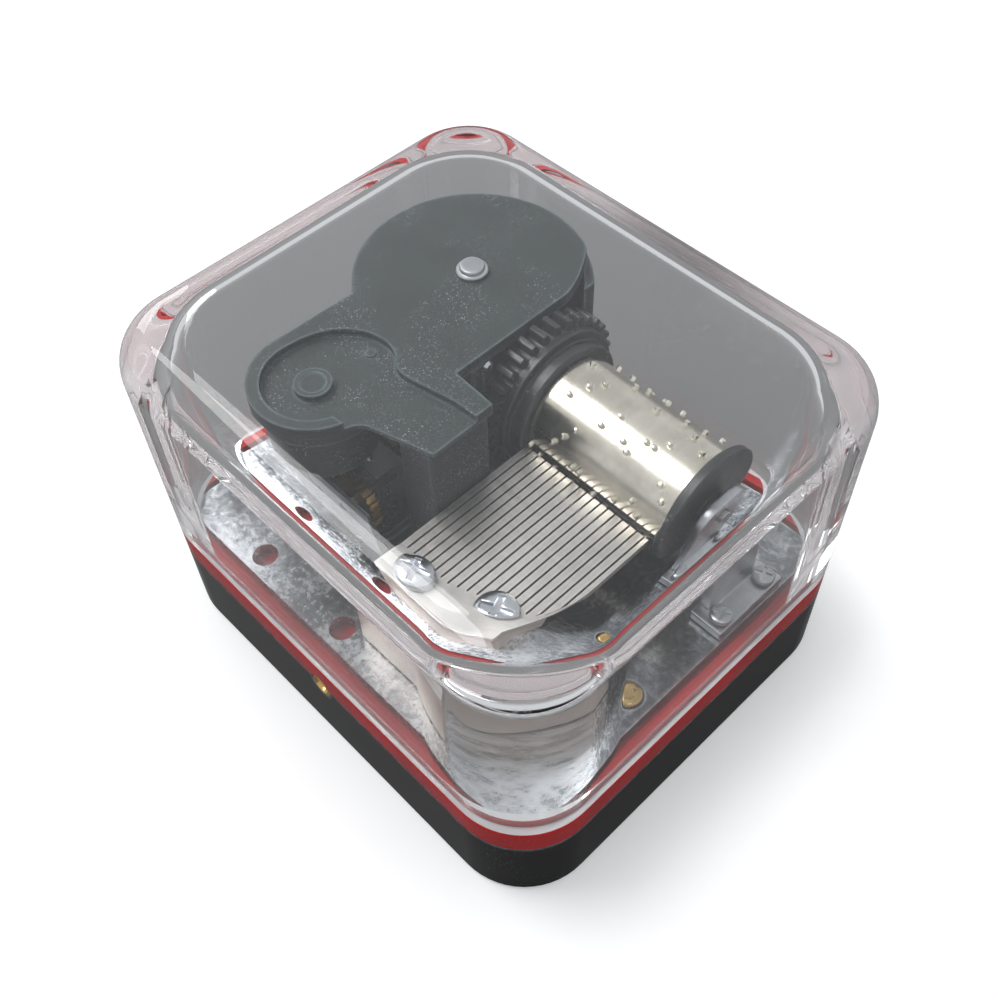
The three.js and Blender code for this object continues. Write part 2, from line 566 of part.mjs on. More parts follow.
addPiece('movement_housing', movementHousing(), 'blackPlastic');
addPiece('housing_rivet', housingRivet(), 'zinc');
HOUSING_SCREWS.forEach((place, i) => {
  const top = PLATE_LOW + SMALL_SCREW.grip + 2;
  const { shank, head, headHeight } = SMALL_SCREW;
  const screw = screwFromBelow(place, PLATE_LOW - SEAT / 2, top, shank, head, headHeight);
  addPiece(`housing_screw_${i + 1}`, screw, 'steel');
});

// ---- Cylinder ----
const CYL_RIGHT = CYL.left + CYL.length;
const END = { spigot: 1.6, capRadius: 7.0, cap: 1.1, ring: 8.1, smallRing: 7.1 };

function pinnedCylinder() {
  const tube = cut(
    disc(CYL.radius, CYL.left, CYL_RIGHT, 0, 0, 40),
    disc(CYL.radius - CYL.wall, CYL.left - 1, CYL_RIGHT + 1, 0, 0, 32),
  );
  const pins = TUNE.flatMap((beats, tine) => beats.map((beat) => {
    const along = COMB.left + (COMB.pitch - COMB.slot) / 2 + COMB.pitch * tine;
    const pin = disc(PIN.radius, CYL.radius - 0.2, CYL.radius + PIN.height, 0, 0, 5);
    // Later beats lie further round towards the comb.
    const round = pin.rotate([0, -90, 0]).rotate([0, 0, ((beat - TOP_BEAT) * 360) / BEATS]);
    return round.translate([0, 0, along]);
  }));
  return alongX(join(tube, ...pins), BARREL.y, CYL.z);
}

function cylinderGear() {
  const right = CYL_GEAR.left + CYL_GEAR.width;
  const rim = gearShape(CYL_GEAR.teeth, CYL_GEAR.root, CYL_GEAR.outer, 0.62, 0.38);
  const teeth = prism(rim, CYL_GEAR.left, right);
  const inner = CYL.radius - CYL.wall - RUN;
  const rings = turned([
    [0, right - 0.1], [END.ring, right - 0.1], [END.ring, right + 0.9], [END.smallRing, right + 1.0],
    [END.smallRing, CYL.left - SEAT / 2], [inner, CYL.left - SEAT / 2], [inner, CYL.left + END.spigot],
    [0, CYL.left + END.spigot],
  ], 40);
  const hole = disc(CYL_ARBOR.radius + 0.02, CYL_GEAR.left - 1, CYL.left + END.spigot + 1, 0, 0, 10);
  // Half a step round, so a tooth space faces down where a crown tooth stands up.
  const half = 180 / CYL_GEAR.teeth;
  return alongX(cut(join(teeth, rings), hole).rotate([0, 0, half]), BARREL.y, CYL.z);
}

function cylinderEndCap() {
  const inner = CYL.radius - CYL.wall - RUN;
  const low = CYL_RIGHT + SEAT / 2;
  const body = turned([
    [0, CYL_RIGHT - END.spigot], [inner, CYL_RIGHT - END.spigot], [inner, low],
    [END.capRadius, low], [END.capRadius, low + END.cap], [2.0, low + END.cap],
    [2.0, low + END.cap + 0.5], [0, low + END.cap + 0.5],
  ], 40);
  const hole = disc(CYL_ARBOR.radius + 0.02, CYL_RIGHT - 3, low + 4, 0, 0, 10);
  return alongX(cut(body, hole), BARREL.y, CYL.z);
}

function bearingBracket() {
  const front = BARREL.y - 3.6;
  const back = BARREL.y + 3.6;
  const upright = block([21.5, 22.8], [front, back], [FOOT, CYL.z + 2.6]);
  const foot = block([21.5, 25.4], [BARREL.y - 5, BARREL.y + 5], [FOOT, FOOT + 1.2]);
  const bearing = alongX(disc(CYL_ARBOR.radius + RUN, 20, 25, 0, 0, 10), BARREL.y, CYL.z);
  const holes = BRACKET_SCREWS.map(([x, y]) => (
    disc(SMALL_SCREW.shank + RUN, FOOT - 1, FOOT + 2, x, y, 10)
  ));
  return cut(join(upright, foot), bearing, ...holes);
}

addPiece('pinned_cylinder', pinnedCylinder(), 'nickel');
addPiece('cylinder_gear', cylinderGear(), 'blackPlastic');
addPiece('cylinder_end_cap', cylinderEndCap(), 'blackPlastic');
const cylinderArbor = disc(CYL_ARBOR.radius, CYL_ARBOR.left, CYL_ARBOR.right, 0, 0, 10);
addPiece('cylinder_arbor', alongX(cylinderArbor, BARREL.y, CYL.z), 'steel');
addPiece('bearing_bracket', bearingBracket(), 'zinc');
BRACKET_SCREWS.forEach((place, i) => {
  const seat = FOOT + 1.2 + SEAT / 2;
  const screw = crossHeadScrew(place, seat, PLATE_LOW + 0.1, SMALL_SCREW.shank, 1.2, 0.9);
  addPiece(`bracket_screw_${i + 1}`, screw, 'steel');
});

// ---- Comb ----
const tipReach = CYL.radius + PIN.height + PIN.tipGap;
const COMB_TIP = BARREL.y - Math.sqrt(tipReach ** 2 - (CYL.z - COMB.top) ** 2);
const COMB_RIGHT = COMB.left + COMB.pitch * COMB.tines - COMB.slot;
const slotRoot = (slot) => SLOT_ROOT.deepest + SLOT_ROOT.step * Math.max(0, slot - SLOT_ROOT.level);
const COMB_SCREW = { shank: 1.0, head: 2.35, headHeight: 1.2, low: 18.6 };

function comb() {
  const low = COMB.top - COMB.thickness;
  const plate = block([COMB.left, COMB_RIGHT], [COMB.back, COMB_TIP], [low, COMB.top]);
  const slots = Array.from({ length: COMB.tines - 1 }, (_, i) => {
    const right = COMB.left + COMB.pitch * (i + 1);
    return block([right - COMB.slot, right], [slotRoot(i), COMB_TIP + 1], [low - 1, COMB.top + 1]);
  });
  const holes = COMB_SCREWS.map(([x, y]) => disc(COMB_SCREW.shank + RUN, low - 1, COMB.top + 1, x, y, 10));
  return cut(plate, ...slots, ...holes);
}

function combBlock() {
  const high = COMB.top - COMB.thickness - SEAT;
  const front = (slot) => slotRoot(slot) - 0.4;
  const top = outline([
    [COMB.left, COMB.back], [COMB_RIGHT, COMB.back], [COMB_RIGHT, front(COMB.tines - 1)],
    [COMB.left + COMB.pitch * SLOT_ROOT.level, front(0)], [COMB.left, front(0)],
  ]);
  const body = prism(top, FOOT, high);
  const above = COMB_SCREWS.map(([x, y]) => (
    disc(COMB_SCREW.shank + RUN, COMB_SCREW.low - PLAY, high + 1, x, y, 10)
  ));
  const below = BLOCK_SCREWS.map(([x, y]) => (
    disc(SMALL_SCREW.shank + RUN, FOOT - 1, PLATE_LOW + SMALL_SCREW.grip + PLAY, x, y, 10)
  ));
  return cut(body, ...above, ...below);
}

addPiece('comb', comb(), 'steel');
addPiece('comb_block', combBlock(), 'zinc');
COMB_SCREWS.forEach((place, i) => {
  const { shank, head, headHeight, low } = COMB_SCREW;
  const screw = crossHeadScrew(place, COMB.top + SEAT / 2, low, shank, head, headHeight);
  addPiece(`comb_screw_${i + 1}`, screw, 'zinc');
});
BLOCK_SCREWS.forEach((place, i) => {
  const { shank, head, headHeight, grip } = SMALL_SCREW;
  const screw = screwFromBelow(place, PLATE_LOW - SEAT / 2, PLATE_LOW + grip, shank, head, headHeight);
  addPiece(`block_screw_${i + 1}`, screw, 'steel');
});

// ---- Governor: two wheels, then a worm that spins the air-brake fly ----
const pinionPitch = (PINION.teeth * PINION.module) / 2;
const FIRST = { x: BARREL.x, z: CYL.z - CYL_GEAR.pitch + pinionPitch };
const SECOND = { x: WORM.x + WORM_WHEEL.pitch + WORM.pitch, z: FIRST.z + WHEEL.rise };
const apart = Math.hypot(SECOND.x - FIRST.x, WHEEL.rise);
const wheelModule = (2 * apart) / (WHEEL.teeth + LAST_PINION.teeth);
const wormLead = (2 * Math.PI * WORM_WHEEL.pitch) / WORM_WHEEL.teeth;

function spur(teeth, module, low, high, tipShare = 0.3) {
  const pitch = (teeth * module) / 2;
  return prism(gearShape(teeth, pitch - 1.15 * module, pitch + 0.8 * module, 0.58, tipShare), low, high);
}

function firstWheel() {
  const crownMid = (CROWN.inner + BARREL.flange) / 2;
  const pinionY = BARREL.y - crownMid;
  const pinion = spur(PINION.teeth, PINION.module, pinionY - 0.65, pinionY + 0.65, 0.22);
  const wheel = spur(WHEEL.teeth, wheelModule, WHEEL.y - WHEEL.width / 2, WHEEL.y + WHEEL.width / 2);
  const shaft = disc(PIVOT, GOV.middle - 0.3, pinionY + 1.0, 0, 0, 10);
  return { pinion, wheel, shaft };
}

// Teeth are drawn in a plane seen along -Y once laid down, so turns are mirrored.
function layAlongY(solid, turn, { x, z }) {
  return alongY(solid.rotate([0, 0, turn]), x, z);
}

function governorFrame() {
  const cheek = (low) => block([GOV.left, GOV.right], [low, low + GOV.cheek], [FOOT, GOV.top]);
  const rail = (left) => block([left, left + 1.0], [GOV.front, GOV.rear + GOV.cheek], [FOOT, GOV.rail]);
  const shaftHole = ({ x, z }) => alongY(disc(PIVOT + RUN, -30, 5, 0, 0, 10), x, z);
  const cheeks = [GOV.rear, GOV.middle, GOV.front].map(cheek);
  return cut(join(...cheeks, rail(GOV.left), rail(GOV.right - 1.0)), shaftHole(FIRST), shaftHole(SECOND));
}

const first = firstWheel();
const firstTurn = 180 / PINION.teeth;
const pressHole = () => disc(PIVOT + 0.02, -20, 20);
addPiece('first_pinion', layAlongY(cut(first.pinion, pressHole()), firstTurn, FIRST), 'brass');
addPiece('first_wheel', layAlongY(cut(first.wheel, pressHole()), 0, FIRST), 'brass');
addPiece('first_arbor', layAlongY(first.shaft, 0, FIRST), 'steel');

// Turn, in degrees, that sets a gear's space on the line of centres where the driving gear has a tooth.
// Laid along Y, a turn drawn anticlockwise runs the other way in the X-Z plane.
function meshTurn(driver, driverTeeth, driven, drivenTeeth) {
  const towards = -Math.atan2(driven.z - driver.z, driven.x - driver.x) * (180 / Math.PI);
  const phase = (towards * driverTeeth) / 360;
  return towards + 180 + ((phase - 0.5) * 360) / drivenTeeth;
}

const secondTurn = meshTurn(FIRST, WHEEL.teeth, SECOND, LAST_PINION.teeth);

function secondPinion() {
  const width = WHEEL.width + 0.4;
  const gear = spur(LAST_PINION.teeth, wheelModule, WHEEL.y - width / 2, WHEEL.y + width / 2, 0.2);
  return cut(gear, pressHole());
}

function wormWheel() {
  const { teeth, pitch, addendum, width } = WORM_WHEEL;
  const shape = gearShape(teeth, pitch - 1.2 * addendum, pitch + addendum, 0.5, 0.22);
  return cut(prism(shape, WORM.y - width / 2, WORM.y + width / 2), pressHole());
}

addPiece('governor_frame', governorFrame(), 'blackPlastic');
addPiece('second_pinion', layAlongY(secondPinion(), secondTurn, SECOND), 'brass');
addPiece('worm_wheel', layAlongY(wormWheel(), 0, SECOND), 'brass');
const secondArbor = disc(PIVOT, GOV.front + 0.2, GOV.rear + 0.8, 0, 0, 10);
addPiece('second_arbor', layAlongY(secondArbor, 0, SECOND), 'steel');

class Helix extends THREE.Curve {
  constructor(radius, lead, length) {
    super();
    Object.assign(this, { radius, lead, length });
  }

  getPoint(t) {
    const angle = (2 * Math.PI * t * this.length) / this.lead;
    return new THREE.Vector3(this.radius * Math.cos(angle), this.radius * Math.sin(angle), t * this.length);
  }
}

// Steel shaft with one round-backed thread that runs between the worm wheel's teeth.
function wormShaft() {
  const { root, outer, low, length } = WORM;
  const top = HOUSING.top - 1.2;
  const body = turned([
    [0, FOOT + 0.5], [PIVOT, FOOT + 0.5], [PIVOT, low - 0.3], [root, low - 0.2],
    [root, low + length + 0.3], [PIVOT, low + length + 0.4], [PIVOT, top], [0, top],
  ], 10);
  const ridge = 0.24;
  const section = outline([[ridge, 0], [0, ridge], [-ridge, 0], [0, -ridge]]);
  const thread = new THREE.ExtrudeGeometry(section, {
    steps: Math.round((length / wormLead) * 8), bevelEnabled: false,
    extrudePath: new Helix(outer - ridge, wormLead, length),
  });
  return join(body, toSolid(thread.translate(0, 0, low))).translate([WORM.x, WORM.y, 0]);
}

function wormBearing() {
  return turned([
    [0, FOOT], [1.5, FOOT], [1.5, FOOT + 1.1], [PIVOT + RUN, FOOT + 1.1],
    [PIVOT + RUN, FOOT + 0.4], [0, FOOT + 0.4],
  ], 10).translate([WORM.x, WORM.y, 0]);
}

function governorFly() {
  const high = FLY.low + FLY.height;
  const vane = block([-FLY.radius + 0.05, FLY.radius - 0.05], [-FLY.vane / 2, FLY.vane / 2], [FLY.low, high]);
  const hub = disc(1.5, FLY.low - 0.6, high, 0, 0, 10);
  const plate = disc(FLY.radius, FLY.low, FLY.low + 0.7, 0, 0, 32);
  const hole = disc(PIVOT + 0.02, FLY.low - 2, high + 1, 0, 0, 10);
  return cut(join(vane, hub, plate), hole).translate([WORM.x, WORM.y, 0]);
}

addPiece('worm_shaft', wormShaft(), 'steel');
addPiece('worm_bearing', wormBearing(), 'brass');
addPiece('governor_fly', governorFly(), 'blackPlastic');

export default musicBox;
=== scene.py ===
"""Wind-up music box under a clear cover: finished pieces, materials and studio."""
import math
from contextlib import contextmanager

import bmesh
import bpy
from bpy.props import FloatProperty, FloatVectorProperty, IntProperty, PointerProperty
from mathutils import Matrix, Vector


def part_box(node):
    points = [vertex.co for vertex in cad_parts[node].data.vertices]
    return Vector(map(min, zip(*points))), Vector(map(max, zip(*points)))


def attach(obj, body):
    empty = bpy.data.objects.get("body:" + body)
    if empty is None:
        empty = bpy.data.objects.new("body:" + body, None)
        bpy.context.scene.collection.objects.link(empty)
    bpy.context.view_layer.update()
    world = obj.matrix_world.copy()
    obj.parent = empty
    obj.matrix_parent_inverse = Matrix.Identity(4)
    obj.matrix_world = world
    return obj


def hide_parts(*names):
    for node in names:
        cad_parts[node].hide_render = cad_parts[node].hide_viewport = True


bl_info = {
    "name": "Wind-up Music Box",
    "version": (1, 0, 0),
    "blender": (4, 5, 0),
    "location": "View3D > Sidebar > Music Box",
    "description": "Builds the finished pieces and materials of a wind-up music box",
    "category": "Add Mesh",
}

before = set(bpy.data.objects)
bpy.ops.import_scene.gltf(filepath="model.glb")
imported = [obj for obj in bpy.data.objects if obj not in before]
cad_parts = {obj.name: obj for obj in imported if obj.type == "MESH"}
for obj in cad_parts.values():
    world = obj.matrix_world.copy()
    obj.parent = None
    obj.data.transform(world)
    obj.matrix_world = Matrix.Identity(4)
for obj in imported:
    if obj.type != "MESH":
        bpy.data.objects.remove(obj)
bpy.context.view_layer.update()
MM = 0.001


def span(node):
    """Limits of a frame node along x, y and z, in millimetres."""
    low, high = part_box(node)
    return [(low[i] / MM, high[i] / MM) for i in range(3)]


def middle(node):
    """Centre of a frame node, in millimetres."""
    return [(low + high) / 2 for low, high in span(node)]


# ---- Selecting and shaping ----
def take(piece):
    """Makes one piece the only selected and active one, in object mode."""
    if bpy.context.object is not None and bpy.context.object.mode != "OBJECT":
        bpy.ops.object.mode_set(mode="OBJECT")
    bpy.ops.object.select_all(action="DESELECT")
    if piece is not None:
        piece.select_set(True)
        bpy.context.view_layer.objects.active = piece


@contextmanager
def editing(piece):
    """Edit mode on one piece, with all of it selected."""
    take(piece)
    bpy.ops.object.mode_set(mode="EDIT")
    bpy.ops.mesh.select_mode(type="VERT")
    bpy.ops.mesh.select_all(action="SELECT")
    yield piece
    bpy.ops.object.mode_set(mode="OBJECT")


def choose(kind, test):
    """Selects only the vertices, edges or faces for which test holds."""
    mesh = bpy.context.object.data
    bpy.ops.mesh.select_mode(type=kind)
    bpy.ops.mesh.select_all(action="DESELECT")
    edit_mesh = bmesh.from_edit_mesh(mesh)
    edit_mesh.normal_update()
    parts = {"VERT": edit_mesh.verts, "EDGE": edit_mesh.edges, "FACE": edit_mesh.faces}[kind]
    for part in parts:
        if test(part):
            part.select_set(True)
    edit_mesh.select_flush_mode()
    bmesh.update_edit_mesh(mesh)


def upright(edge):
    """True for an edge that stands along z."""
    first, second = edge.verts
    return abs(first.co.z - second.co.z) > 0.9 * edge.calc_length()


def rim_at(height):
    """Test for the edges round a face at this height, in millimetres."""
    def on_rim(edge):
        level = all(abs(vert.co.z - height * MM) < 2e-6 for vert in edge.verts)
        return level and min([abs(face.normal.z) for face in edge.link_faces] + [1]) < 0.9
    return on_rim


def bevel_edges(piece, test, radius, segments):
    """Rounds the edges for which test holds, to a radius in millimetres."""
    with editing(piece):
        choose("EDGE", test)
        bpy.ops.mesh.bevel(offset=radius * MM, offset_type="OFFSET", segments=segments, profile=0.5,
                           affect="EDGES", clamp_overlap=False)


def named(name):
    """Names the primitive just added and puts its place into its mesh."""
    piece = bpy.context.object
    piece.name = name
    piece.data.name = name
    bpy.ops.object.transform_apply(location=True, rotation=True, scale=True)
    return piece


def block(name, x, y, z):
    """Plain block between its limits along x, y and z."""
    take(None)
    limits = (x, y, z)
    bpy.ops.mesh.primitive_cube_add(
        size=MM, location=[MM * (low + high) / 2 for low, high in limits],
        scale=[high - low for low, high in limits],
    )
    return named(name)


def rounded_block(name, half_x, half_y, z, corner, segments=10):
    """Block centred on the z axis with rounded upright corners."""
    piece = block(name, (-half_x, half_x), (-half_y, half_y), z)
    bevel_edges(piece, upright, corner, segments)
    return piece


def traced(name, points, low, high):
    """Plate traced corner by corner, filled, and raised from low to high."""
    take(None)
    start = Vector((points[0][0], points[0][1], low)) * MM
    bpy.ops.mesh.primitive_plane_add(size=MM, location=start)
    piece = named(name)
    with editing(piece):
        bpy.ops.mesh.merge(type="CENTER")
        for before, after in zip(points, points[1:]):
            step = (MM * (after[0] - before[0]), MM * (after[1] - before[1]), 0)
            bpy.ops.mesh.extrude_vertices_move(TRANSFORM_OT_translate={"value": step})
        bpy.ops.mesh.select_all(action="SELECT")
        bpy.ops.mesh.edge_face_add()
        bpy.ops.mesh.extrude_region_move(TRANSFORM_OT_translate={"value": (0, 0, MM * (high - low))})
        bpy.ops.mesh.select_all(action="SELECT")
        bpy.ops.mesh.normals_make_consistent(inside=False)
    return piece


def turned(name, profile, sides=48):
    """Round piece about the z axis, drawn up from one flat end to the other by its radius and height."""
    take(None)
    radius, height = profile[0]
    bpy.ops.mesh.primitive_circle_add(
        vertices=sides, radius=MM * radius, fill_type="NGON", location=(0, 0, MM * height),
    )
    piece = named(name)
    with editing(piece):
        bpy.ops.mesh.select_mode(type="FACE")
        bpy.ops.mesh.select_all(action="SELECT")
        for next_radius, next_height in profile[1:]:
            rise = (0, 0, MM * (next_height - height))
            bpy.ops.mesh.extrude_region_move(TRANSFORM_OT_translate={"value": rise})
            scale = next_radius / radius
            bpy.ops.transform.resize(value=(scale, scale, 1), center_override=(0, 0, MM * next_height))
            radius, height = next_radius, next_height
        bpy.ops.mesh.select_all(action="SELECT")
        bpy.ops.mesh.normals_make_consistent(inside=False)
    return piece


def moved(piece, place, turn=(0, 0, 0)):
    """Turns a piece about the origin, moves it in millimetres, and keeps both in its mesh."""
    take(piece)
    piece.rotation_euler = turn
    piece.location = Vector(place) * MM
    bpy.ops.object.transform_apply(location=True, rotation=True, scale=True)
    return piece


def along_x(piece, y, z, roll=0):
    """Lays a piece drawn up the z axis along x, through the given y and z."""
    moved(piece, (0, 0, 0), (0, 0, roll))
    return moved(piece, (0, y, z), (0, math.pi / 2, 0))


def along_y(piece, x, z):
    """Lays a piece drawn up the z axis along y, through the given x and z."""
    return moved(piece, (x, 0, z), (-math.pi / 2, 0, 0))


def copied(piece, name, place, turn=(0, 0, 0)):
    """Copy of a piece with a mesh of its own, turned and moved."""
    twin = piece.copy()
    twin.data = piece.data.copy()
    twin.name = name
    bpy.context.scene.collection.objects.link(twin)
    return moved(twin, place, turn)


def dropped(*pieces):
    """Removes pieces that have served as patterns."""
    for piece in pieces:
        bpy.data.objects.remove(piece)


def combined(piece, other, operation="DIFFERENCE"):
    """Cuts, joins or intersects a piece with another, which is then gone."""
    take(piece)
    bpy.ops.object.modifier_add(type="BOOLEAN")
    change = piece.modifiers[-1]
    change.operation = operation
    change.object = other
    change.solver = "EXACT"
    bpy.ops.object.modifier_apply(modifier=change.name)
    dropped(other)
    return piece


def drilled(piece, places, radius, low, high, sides=32):
    """Cuts round holes down through a piece."""
    for x, y in places:
        combined(piece, moved(turned("drill", [(radius, low), (radius, high)], sides), (x, y, 0)))
    return piece


def gathered(piece, *others):
    """Puts several shells into one piece."""
    take(piece)
    for other in others:
        other.select_set(True)
    bpy.ops.object.join()
    return piece


def softened(piece, radius, segments=2, angle=32):
    """Breaks the sharp edges of a piece with a small radius."""
    take(piece)
    bpy.ops.object.modifier_add(type="BEVEL")
    change = piece.modifiers[-1]
    change.width = radius * MM
    change.segments = segments
    change.limit_method = "ANGLE"
    change.angle_limit = math.radians(angle)
    change.use_clamp_overlap = True
    change.miter_outer = "MITER_ARC"
    bpy.ops.object.modifier_apply(modifier=change.name)
    return piece


def smoothed(piece, angle=32):
    """Smooth shading across gentle edges, with flat faces kept flat."""
    take(piece)
    bpy.ops.object.shade_smooth_by_angle(angle=math.radians(angle))
    bpy.ops.object.modifier_add(type="WEIGHTED_NORMAL")
    change = piece.modifiers[-1]
    change.keep_sharp = True
    change.weight = 80
    bpy.ops.object.modifier_apply(modifier=change.name)
    return piece


def arc(x, y, radius, start, end, steps):
    """Points along an arc, by its angles in degrees."""
    angles = [math.radians(start + (end - start) * i / steps) for i in range(steps + 1)]
    return [(x + radius * math.cos(a), y + radius * math.sin(a)) for a in angles]


def bow(start, control, end, steps=8):
    """Points along a simple curve drawn towards a control point, after its start."""
    points = []
    for i in range(1, steps + 1):
        t = i / steps
        points.append(tuple(
            (1 - t) ** 2 * a + 2 * t * (1 - t) * c + t ** 2 * b for a, c, b in zip(start, control, end)
        ))
    return points


def finished(piece, material, body, slot, *nodes):
    """Gives a piece its material and body, and hides the frame nodes it stands for."""
    take(piece)
    bpy.ops.object.transform_apply(location=True, rotation=True, scale=True)
    piece.data.materials.clear()
    piece.data.materials.append(material)
    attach(piece, body)
    if nodes:
        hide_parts(*nodes)
    return piece


def dressed(material, *names):
    """Gives frame nodes that stay showing a material."""
    for name in names:
        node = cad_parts[name]
        node.data.materials.clear()
        node.data.materials.append(material)


# ---- Material building blocks ----
def add_node(tree, kind, settings, sockets):
    """New shader node with its settings, and each socket linked or set."""
    made = tree.nodes.new("ShaderNode" + kind)
    for name, value in settings.items():
        setattr(made, name, value)
    for name, value in sockets.items():
        if isinstance(value, bpy.types.NodeSocket):
            tree.links.new(value, made.inputs[name])
        else:
            made.inputs[name].default_value = value
    return made


def math_node(tree, operation, first, second=0.0, clamp=False):
    """Result of one sum on two values."""
    settings = {"operation": operation, "use_clamp": clamp}
    return add_node(tree, "Math", settings, {0: first, 1: second}).outputs[0]


def mix_colour(tree, mask, first, second):
    """Colour that runs from first to second with a mask."""
    made = add_node(tree, "Mix", {"data_type": "RGBA"}, {})
    for socket, value in ((made.inputs[0], mask), (made.inputs[6], first), (made.inputs[7], second)):
        if isinstance(value, bpy.types.NodeSocket):
            tree.links.new(value, socket)
        else:
            socket.default_value = value
    return made.outputs[2]


def remap(tree, value, low, high, to_low=0.0, to_high=1.0):
    """Carries a value from one range to another, held at its ends."""
    sockets = {"Value": value, "From Min": low, "From Max": high, "To Min": to_low, "To Max": to_high}
    return add_node(tree, "MapRange", {"clamp": True}, sockets).outputs["Result"]


def open_group(name, inputs, outputs):
    """New shader node group with named input and output sockets."""
    group = bpy.data.node_groups.new(name, "ShaderNodeTree")
    for label, kind, default in inputs:
        socket = group.interface.new_socket(label, in_out="INPUT", socket_type="NodeSocket" + kind)
        if default is not None:
            socket.default_value = default
    for label, kind in outputs:
        group.interface.new_socket(label, in_out="OUTPUT", socket_type="NodeSocket" + kind)
    entry = group.nodes.new("NodeGroupInput")
    leave = group.nodes.new("NodeGroupOutput")
    return group, entry, leave


def dust_group():
    """Scattered light specks of uneven size."""
    group, entry, leave = open_group(
        "Dust", [("Vector", "Vector", None), ("Scale", "Float", 900.0), ("Amount", "Float", 0.3)],
        [("Mask", "Float")],
    )
    cells = add_node(group, "TexVoronoi", {}, {"Vector": entry.outputs[0], "Scale": entry.outputs[1]})
    patches = add_node(group, "TexNoise", {}, {"Vector": entry.outputs[0], "Scale": 180.0, "Detail": 2.0})
    size = math_node(group, "MULTIPLY", cells.outputs["Color"], 0.3)
    speck = remap(group, math_node(group, "SUBTRACT", cells.outputs["Distance"], size), -0.02, 0.1, 1.0, 0.0)
    thinned = math_node(group, "MULTIPLY", speck, remap(group, patches.outputs[0], 0.42, 0.62))
    group.links.new(math_node(group, "MULTIPLY", thinned, entry.outputs[2], True), leave.inputs[0])
    return group


def scratch_group():
    """Fine hairlines in two directions."""
    group, entry, leave = open_group(
        "Hairlines", [("Vector", "Vector", None), ("Scale", "Float", 60.0), ("Amount", "Float", 0.3)],
        [("Mask", "Float")],
    )
    found = []
    for turn, stretch in ((0.6, 26.0), (-1.1, 34.0)):
        sockets = {"Vector": entry.outputs[0], "Rotation": (0.3, 0.2, turn), "Scale": (1.0, stretch, stretch)}
        lay = add_node(group, "Mapping", {}, sockets)
        lines = add_node(group, "TexNoise", {}, {
            "Vector": lay.outputs[0], "Scale": entry.outputs[1], "Detail": 3.0, "Roughness": 0.6,
        })
        found.append(remap(group, lines.outputs[0], 0.66, 0.72))
    both = math_node(group, "MAXIMUM", found[0], found[1])
    group.links.new(math_node(group, "MULTIPLY", both, entry.outputs[2], True), leave.inputs[0])
    return group


def edge_group():
    """Mask of the outer edges, broken up a little; it marks scuffed edges, and on the black skirt and the
    housing a painted highlight.
    """
    group, entry, leave = open_group(
        "Edge wear", [("Vector", "Vector", None), ("Amount", "Float", 0.5)], [("Mask", "Float")],
    )
    shape = add_node(group, "NewGeometry", {}, {})
    rounded = add_node(group, "Bevel", {"samples": 4}, {"Radius": 0.5 * MM})
    level = add_node(group, "VectorMath", {"operation": "DOT_PRODUCT"}, {
        0: rounded.outputs[0], 1: shape.outputs["True Normal"],
    })
    edge = remap(group, level.outputs["Value"], 0.99, 0.94)
    worn_and_lit = add_node(group, "TexNoise", {}, {"Vector": entry.outputs[0], "Scale": 700.0, "Detail": 3.0})
    broken = math_node(group, "MULTIPLY", edge, remap(group, worn_and_lit.outputs[0], 0.3, 0.6, 0.45, 1.0))
    group.links.new(math_node(group, "MULTIPLY", broken, entry.outputs[1], True), leave.inputs[0])
    return group


def grain_group():
    """Height of a moulded or cast skin: fine pebbles over slow waves."""
    group, entry, leave = open_group(
        "Moulded grain", [("Vector", "Vector", None), ("Scale", "Float", 2500.0), ("Waviness", "Float", 0.3)],
        [("Height", "Float"), ("Mottle", "Float")],
    )
    pebbles = add_node(group, "TexNoise", {}, {
        "Vector": entry.outputs[0], "Scale": entry.outputs[1], "Detail": 4.0, "Roughness": 0.65,
    })
    waves = add_node(group, "TexNoise", {}, {"Vector": entry.outputs[0], "Scale": 160.0, "Detail": 3.0})
    slow = math_node(group, "MULTIPLY", waves.outputs[0], entry.outputs[2])
    group.links.new(math_node(group, "ADD", pebbles.outputs[0], slow), leave.inputs[0])
    group.links.new(waves.outputs[0], leave.inputs[1])
    return group


def brushed_group():
    """Close parallel lines of a brushed or turned metal, along the first axis of the vector."""
    group, entry, leave = open_group(
        "Brushed lines", [("Vector", "Vector", None), ("Scale", "Float", 1500.0)], [("Lines", "Float")],
    )
    lay = add_node(group, "Mapping", {}, {"Vector": entry.outputs[0], "Scale": (0.02, 1.0, 1.0)})
    lines = add_node(group, "TexNoise", {}, {
        "Vector": lay.outputs[0], "Scale": entry.outputs[1], "Detail": 4.0, "Roughness": 0.7,
    })
    group.links.new(lines.outputs[0], leave.inputs[0])
    return group


GROUPS = {}


def build_groups():
    """Makes the shared effects once."""
    makers = {
        "dust": dust_group, "scratch": scratch_group, "edge": edge_group, "grain": grain_group,
        "brushed": brushed_group,
    }
    for name, maker in makers.items():
        GROUPS[name] = maker()


def effect(tree, name, sockets):
    """One of the shared effects, placed in a material."""
    made = tree.nodes.new("ShaderNodeGroup")
    made.node_tree = GROUPS[name]
    for label, value in sockets.items():
        if isinstance(value, bpy.types.NodeSocket):
            tree.links.new(value, made.inputs[label])
        else:
            made.inputs[label].default_value = value
    return made


